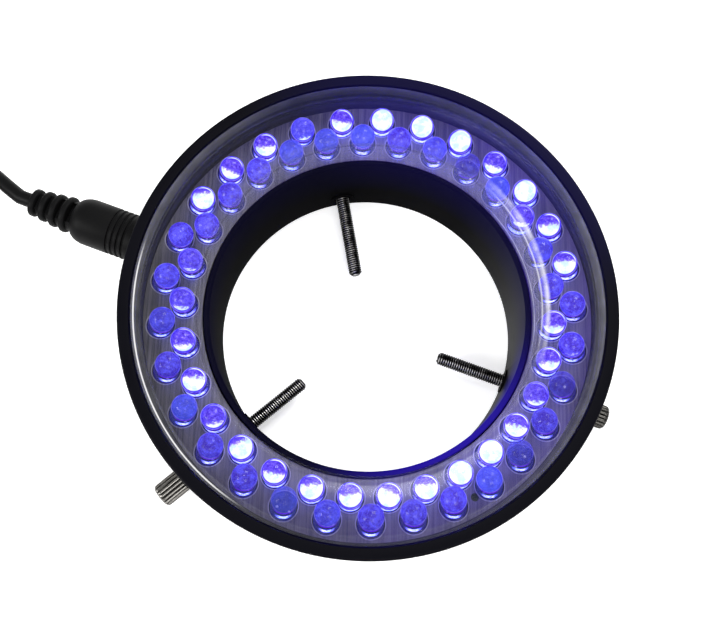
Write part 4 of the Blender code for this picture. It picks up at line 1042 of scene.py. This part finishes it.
def make_housing():
    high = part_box("housing")[1]
    cover_outer = node_ring("clear_cover")[1]
    plate_outer, plate_low, plate_high = node_ring("reflector_plate")[1:]
    outer = high.x
    rim_height = high.z
    back = outer - BACK_TAPER
    trough = plate_outer + SEAT_GAP
    shelf = trough - SHELF_WIDTH
    rim_inner = cover_outer + SEAT_GAP
    ledge = SKIRT_BOTTOM - SEAT_GAP
    lip = plate_high + LIP_STEP
    outline = rounded([
        (outer, rim_height, RIM_ROUND), (outer, rim_height - RIM_BAND, 0), (back, 0, BACK_ROUND),
        (BORE_RADIUS, 0, BACK_ROUND), (BORE_RADIUS, lip, LIP_ROUND), (TUBE_RADIUS, lip, LIP_ROUND),
        (TUBE_RADIUS, FLOOR_THICKNESS, 0), (shelf - TROUGH_TAPER, FLOOR_THICKNESS, 0),
        (shelf, plate_low - SEAT_GAP, 0), (trough, plate_low - SEAT_GAP, 0), (trough, ledge, 0),
        (rim_inner, ledge, 0), (rim_inner, rim_height, RIM_INNER_ROUND),
    ])
    body = turned("ring_housing", outline, RING_SIDES)
    step, seat = reach("threaded_insert_1", heading(SCREW_START))
    step -= SEAT_GAP
    seat += INSERT_RECESS
    pocket = INSERT_RADIUS + SEAT_GAP
    collars, bosses, drills = [], [], []
    for angle in screw_angles():
        place = outwards(angle, SCREW_HEIGHT)
        collars.append(drum("collar", SCREW_COLLAR_RADIUS, BORE_RADIUS - SCREW_COLLAR_PROUD,
                            SCREW_COLLAR_END, placement=place))
        bosses.append(drum("boss", BOSS_RADIUS, BOSS_START, back - BOSS_INSET, placement=place))
        drills.append(turned("drill", [
            (0, outer + CUT_OVERRUN), (SPOT_FACE_RADIUS, outer + CUT_OVERRUN), (SPOT_FACE_RADIUS, seat),
            (pocket, seat), (pocket, step), (SCREW_HOLE_RADIUS, step),
            (SCREW_HOLE_RADIUS, BORE_RADIUS - CUT_OVERRUN), (0, BORE_RADIUS - CUT_OVERRUN),
        ], ROUND_SIDES, False, place))
    drills.append(drum("jack_hole", JACK_HOLE_RADIUS, shelf - JACK_HOLE_RUN, outer + CUT_OVERRUN,
                       placement=outwards(JACK_ANGLE, JACK_HEIGHT)))
    mesh = carved(body, cuts=drills, unions=collars + bosses)
    show("ring_housing", mesh, "ring", "black_housing", housing_finish(), "housing")


def make_cover():
    inner, outer, low, high = node_ring("clear_cover")
    wall = inner + COVER_INNER_WALL
    skirt = outer - COVER_SKIRT_WALL
    under = high - COVER_TOP
    outline = rounded([
        (outer, high, COVER_OUTER_ROUND), (outer, SKIRT_BOTTOM, COVER_FOOT_ROUND),
        (skirt, SKIRT_BOTTOM, COVER_FOOT_ROUND), (skirt, under, COVER_INSIDE_ROUND),
        (wall, under, COVER_INNER_ROUND - COVER_INNER_WALL), (wall, low, COVER_SEAT_ROUND),
        (inner, low, COVER_SEAT_ROUND), (inner, high, COVER_INNER_ROUND),
    ], COVER_CORNER_STEPS)
    mesh = turned("lens_cover", outline, RING_SIDES)
    show("lens_cover", mesh, "ring", "clear_cover", cover_finish(), "clear_cover")


def led_places():
    """The placements of each row's LEDs. A placement's Z is the LED's own axis."""
    places = {}
    rows = (("outer", OUTER_ROW_START, OUTER_ROW_RADIUS, OUTER_TILT),
            ("inner", INNER_ROW_START, INNER_ROW_RADIUS, INNER_TILT))
    for row, start, radius, tilt in rows:
        places[row] = []
        for index in range(LEDS_IN_ROW):
            even = math.tau * index / LEDS_IN_ROW
            stray = STRAY_ONCE * math.cos(even - STRAY_ONCE_PEAK)
            stray += STRAY_TWICE * math.cos(2 * (even - STRAY_TWICE_PEAK))
            place = turn_about_z(start + even + stray)
            place @= Matrix.Translation((radius, 0, DOME_HEIGHT))
            places[row].append(place @ Matrix.Rotation(-tilt, 4, "Y"))
    return places


def make_plate(places):
    """The plate with its holes, and their edges, painted bright as a highlight."""
    inner, outer, low, high = node_ring("reflector_plate")
    outline = rounded([
        (outer, high, PLATE_EDGE_ROUND), (outer, low, 0), (inner, low, 0), (inner, high, PLATE_EDGE_ROUND),
    ])
    body = turned("reflector_face", outline, RING_SIDES)
    hole = LED_RADIUS + PLATE_HOLE_GAP
    punches = copies(drum("punch", hole, -LED_BODY, LED_RADIUS, HOLE_SIDES), places)
    pilot_place = turn_about_z(PILOT_ANGLE) @ Matrix.Translation((PILOT_CENTRE_RADIUS, 0, 0))
    pilot = drum("pilot", PILOT_RADIUS, low - CUT_OVERRUN, high + CUT_OVERRUN, HOLE_SIDES, pilot_place)
    mesh = carved(body, cuts=[punches, pilot])
    brushed = plate_finish("brushed_aluminium_plate", (0.043, 0.041, 0.042), (0.190, 0.183, 0.184))
    show("reflector_face", mesh, "ring", "brushed_plate", brushed, "reflector_plate")
    edge_outer = hole + HOLE_EDGE_WIDTH
    outline = rounded([
        (edge_outer, HOLE_EDGE_PROUD, HOLE_EDGE_ROUND), (edge_outer, -HOLE_EDGE_PROUD, 0),
        (hole, -HOLE_EDGE_PROUD, 0), (hole, HOLE_EDGE_PROUD, HOLE_EDGE_ROUND),
    ], HOLE_EDGE_STEPS)
    edge = turned("hole_edges", outline, HOLE_SIDES)
    edges = []
    for place in places:
        axis = place.to_3x3().col[2]
        on_plate = place.translation - axis * (place.translation.z - high) / axis.z
        turn = turn_about_z(math.atan2(on_plate.y, on_plate.x))
        edges.append(Matrix.Translation(on_plate) @ turn @ Matrix.Diagonal((1 / axis.z, 1, 1, 1)))
    # Painted highlight: the rings are lighter and bluer than the plate, and carry its painted glow
    edge_highlight_finish = plate_finish("hole_edges_painted_highlight", (0.16, 0.15, 0.19), (0.42, 0.40, 0.46))
    show("hole_edges", copies(edge, edges), "ring", "brushed_plate", edge_highlight_finish)


def lens_outline():
    turns = [math.pi / 2 * i / LENS_BANDS for i in range(LENS_BANDS + 1)]
    dome = [(LED_RADIUS * math.sin(turn), LED_RADIUS * math.cos(turn)) for turn in turns]
    side = [(LED_RADIUS, -(LED_BODY - LENS_FOOT_ROUND) * (i + 1) / LENS_LEVELS) for i in range(LENS_LEVELS)]
    return dome + side + [(LED_RADIUS - LENS_FOOT_ROUND, -LED_BODY), (0, -LED_BODY)]


def make_lenses(rows):
    """Two rows of lenses, with each lens's own coordinates and light kept on its points."""
    single = turned("lens", lens_outline(), LENS_SIDES, False)
    local = np.array([v.co for v in single.vertices]) / LED_RADIUS
    finish = lens_finish()
    for row, percents in (("outer", OUTER_LIT_PERCENT), ("inner", INNER_LIT_PERCENT)):
        mesh = copies(single, rows[row])
        spots, lights = [], []
        for index, (place, percent) in enumerate(zip(rows[row], percents)):
            facing = (Vector(LENS_FACING_POINT) - place.translation).normalized()
            across = Vector((1, 0, 0)) - facing * facing.x
            across.normalize()
            view = np.array((across, facing.cross(across), facing))
            spots.append(local @ np.array(place.to_3x3()).T @ view.T)
            seeds = np.full(len(local), SEED_STEP * index)
            lights.append(np.column_stack((np.full(len(local), percent / 100), seeds, local[:, 2])))
        for name, values in (("lens_place", spots), ("lens_light", lights)):
            attribute = mesh.attributes.new(name, "FLOAT_VECTOR", "POINT")
            attribute.data.foreach_set("vector", np.concatenate(values).astype(np.float32).ravel())
        piece = show(f"led_lenses_{row}_row", mesh, "ring", "blue_leds", finish)
        if row == "outer":
            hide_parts("led_board")


def make_board(places):
    """The board, and the LEDs' legs through it."""
    board = turned("circuit_board", [
        (BOARD_OUTER, BOARD_HIGH), (BOARD_OUTER, BOARD_LOW), (BOARD_INNER, BOARD_LOW),
        (BOARD_INNER, BOARD_HIGH)], RING_SIDES)
    finish = Finish("solder_mask")
    cloud = finish.noise(120.0)
    finish.set(Base_Color=finish.blend(cloud, (0.004, 0.018, 0.009), (0.008, 0.032, 0.016)), Roughness=0.45)
    show("circuit_board", board, "ring", "blue_leds", finish.material)
    spots = []
    for place in places:
        foot = (place @ Matrix.Translation((0, 0, -LED_BODY))).translation
        turn = Matrix.Translation((foot.x, foot.y, 0)) @ turn_about_z(math.atan2(foot.y, foot.x))
        spots += [turn @ Matrix.Translation((0, side * LEG_OFFSET, 0)) for side in (-1, 1)]
    leg = drum("led_legs", LEG_RADIUS, BOARD_LOW - SEAT_GAP / 2, LEG_TOP, LEG_SIDES)
    tinned = metal("tinned_legs", (0.72, 0.72, 0.70), 0.3)
    show("led_legs", copies(leg, spots), "ring", "nickel", tinned)


# Thumbscrews

def crest_marked(name, rings, crests):
    """A mesh through rings of points that keeps on each how far up a crest it is, for painted shade in the
    grooves and painted highlight on the crests.
    """
    mesh = skinned(name, rings, capped=True)
    mesh.attributes.new("crest", "FLOAT", "POINT").data.foreach_set("value", crests)
    return mesh


def rod_mesh(length):
    """A threaded rod along Z from its tip at 0, its ridge one unbroken helix."""
    stations = round(length / THREAD_PITCH * THREAD_STEPS)
    rings, crests = [], []
    for j in range(stations + 1):
        z = length * j / stations
        limit = SCREW_RADIUS
        if z < SCREW_TIP_LENGTH:
            limit = SCREW_TIP_RADIUS + (SCREW_RADIUS - SCREW_TIP_RADIUS) * z / SCREW_TIP_LENGTH
        rings.append([])
        for i in range(THREAD_SIDES):
            share = i / THREAD_SIDES
            phase = (z / THREAD_PITCH - share) % 1
            ridge = 1 - abs(2 * phase - 1)
            crest = min(1, ridge * THREAD_CREST)
            crests.append(crest)
            radius = min(limit, SCREW_RADIUS - THREAD_DEPTH + THREAD_DEPTH * crest)
            rings[-1].append((radius * math.cos(math.tau * share), radius * math.sin(math.tau * share), z))
    return crest_marked("threaded_rod", rings, crests)


def knob_mesh():
    """A fluted barrel whose flutes run out into chamfered ends, with a shallow dish outside."""
    sides = KNOB_FLUTES * FLUTE_POINTS
    stations = [(0, KNOB_RADIUS - KNOB_INNER_CHAMFER, 0), (KNOB_INNER_CHAMFER, KNOB_RADIUS, 1),
                (KNOB_LENGTH - KNOB_ROUND, KNOB_RADIUS, 1)]
    for step in range(1, KNOB_CAP_STEPS + 1):
        turn = math.pi / 2 * step / KNOB_CAP_STEPS
        stations.append((KNOB_LENGTH - KNOB_ROUND * (1 - math.sin(turn)),
                         KNOB_RADIUS - KNOB_ROUND * (1 - math.cos(turn)),
                         max(0, 1 - 2 * step / KNOB_CAP_STEPS)))
    stations += [(KNOB_LENGTH, KNOB_DISH_RIM, 0), (KNOB_LENGTH - KNOB_DISH, KNOB_DISH_FLOOR, 0)]
    rings, crests = [], []
    for z, limit, fluted in stations:
        rings.append([])
        for i in range(sides):
            turn = math.tau * i / sides
            wave = abs(math.sin(KNOB_FLUTES * turn / 2))
            radius = limit - FLUTE_DEPTH * fluted * (1 - wave)
            crests.append(wave if fluted else KNOB_END_SHINE)
            rings[-1].append((radius * math.cos(turn), radius * math.sin(turn), z))
    return crest_marked("knob", rings, crests)


def paint_rod_highlight(rod, axis):
    """A painted highlight: the thread is made brighter along the side that faces the rods' highlight
    direction.
    """
    middle = Vector((0, 0, SCREW_HEIGHT))
    facing = (ROD_HIGHLIGHT_SIDE - axis * ROD_HIGHLIGHT_SIDE.dot(axis)).normalized()
    for vertex, mark in zip(rod.vertices, rod.attributes["crest"].data):
        place = vertex.co - middle
        side = (place - axis * place.dot(axis)).normalized().dot(facing)
        share = min(1, max(0, (side - ROD_HIGHLIGHT_FROM) / (ROD_HIGHLIGHT_FULL - ROD_HIGHLIGHT_FROM)))
        mark.value *= ROD_OFF_HIGHLIGHT + (1 - ROD_OFF_HIGHLIGHT) * share


def make_thumbscrews():
    steel = cut_metal("blackened_steel", (0.004, 0.004, 0.004), (0.68, 0.66, 0.64), 0.32, 0.55)
    bright = cut_metal("bright_plated_steel", (0.010, 0.010, 0.009), (0.22, 0.21, 0.195), 0.22, 0.25, 0.30)
    for number, angle in enumerate(screw_angles(), 1):
        axis = heading(angle)
        tip, end = reach(f"screw_shank_{number}", axis)
        rod = rod_mesh(end - tip)
        rod.transform(outwards(angle, SCREW_HEIGHT, tip))
        paint_rod_highlight(rod, axis)
        show(f"threaded_rod_{number}", rod, f"screw_{number}", "dark_steel", steel, f"screw_shank_{number}")
        start = reach(f"knurled_knob_{number}", axis)[0]
        knob = knob_mesh()
        knob.transform(outwards(angle, SCREW_HEIGHT, start))
        show(f"fluted_knob_{number}", knob, f"knob_{number}", "bright_steel", bright,
             f"knurled_knob_{number}")


def dress_nodes():
    """Finishes for the CAD nodes that stay."""
    brass = metal("turned_brass", (0.72, 0.50, 0.22), 0.28, 500.0)
    nickel = metal("nickel_plate", (0.76, 0.74, 0.70), 0.18, 500.0)
    jack = moulded_black("jack_plastic", (0.008, 0.008, 0.008), 0.5, 2000.0).material
    chip = moulded_black("resistor_glaze", (0.007, 0.007, 0.008), 0.35, 3000.0, 0.3).material
    groups = ((brass, ("threaded_insert_1", "threaded_insert_2", "threaded_insert_3", "jack_spring")),
              (nickel, ("jack_pin", "ring_plug_sleeve", "far_plug_sleeve")),
              (jack, ("jack_body", "ring_plug_tip_tube", "far_plug_tip_tube")),
              (chip, [f"resistor_{i + 1:02d}" for i in range(RESISTOR_COUNT)]))
    for finish, names in groups:
        for name in names:
            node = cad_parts[name]
            node.data.materials.clear()
            node.data.materials.append(finish)


make_camera()
make_lead()
make_stage()
make_housing()
make_cover()
led_rows = led_places()
every_led = led_rows["outer"] + led_rows["inner"]
make_plate(every_led)
make_lenses(led_rows)
make_board(every_led)
make_thumbscrews()
dress_nodes()
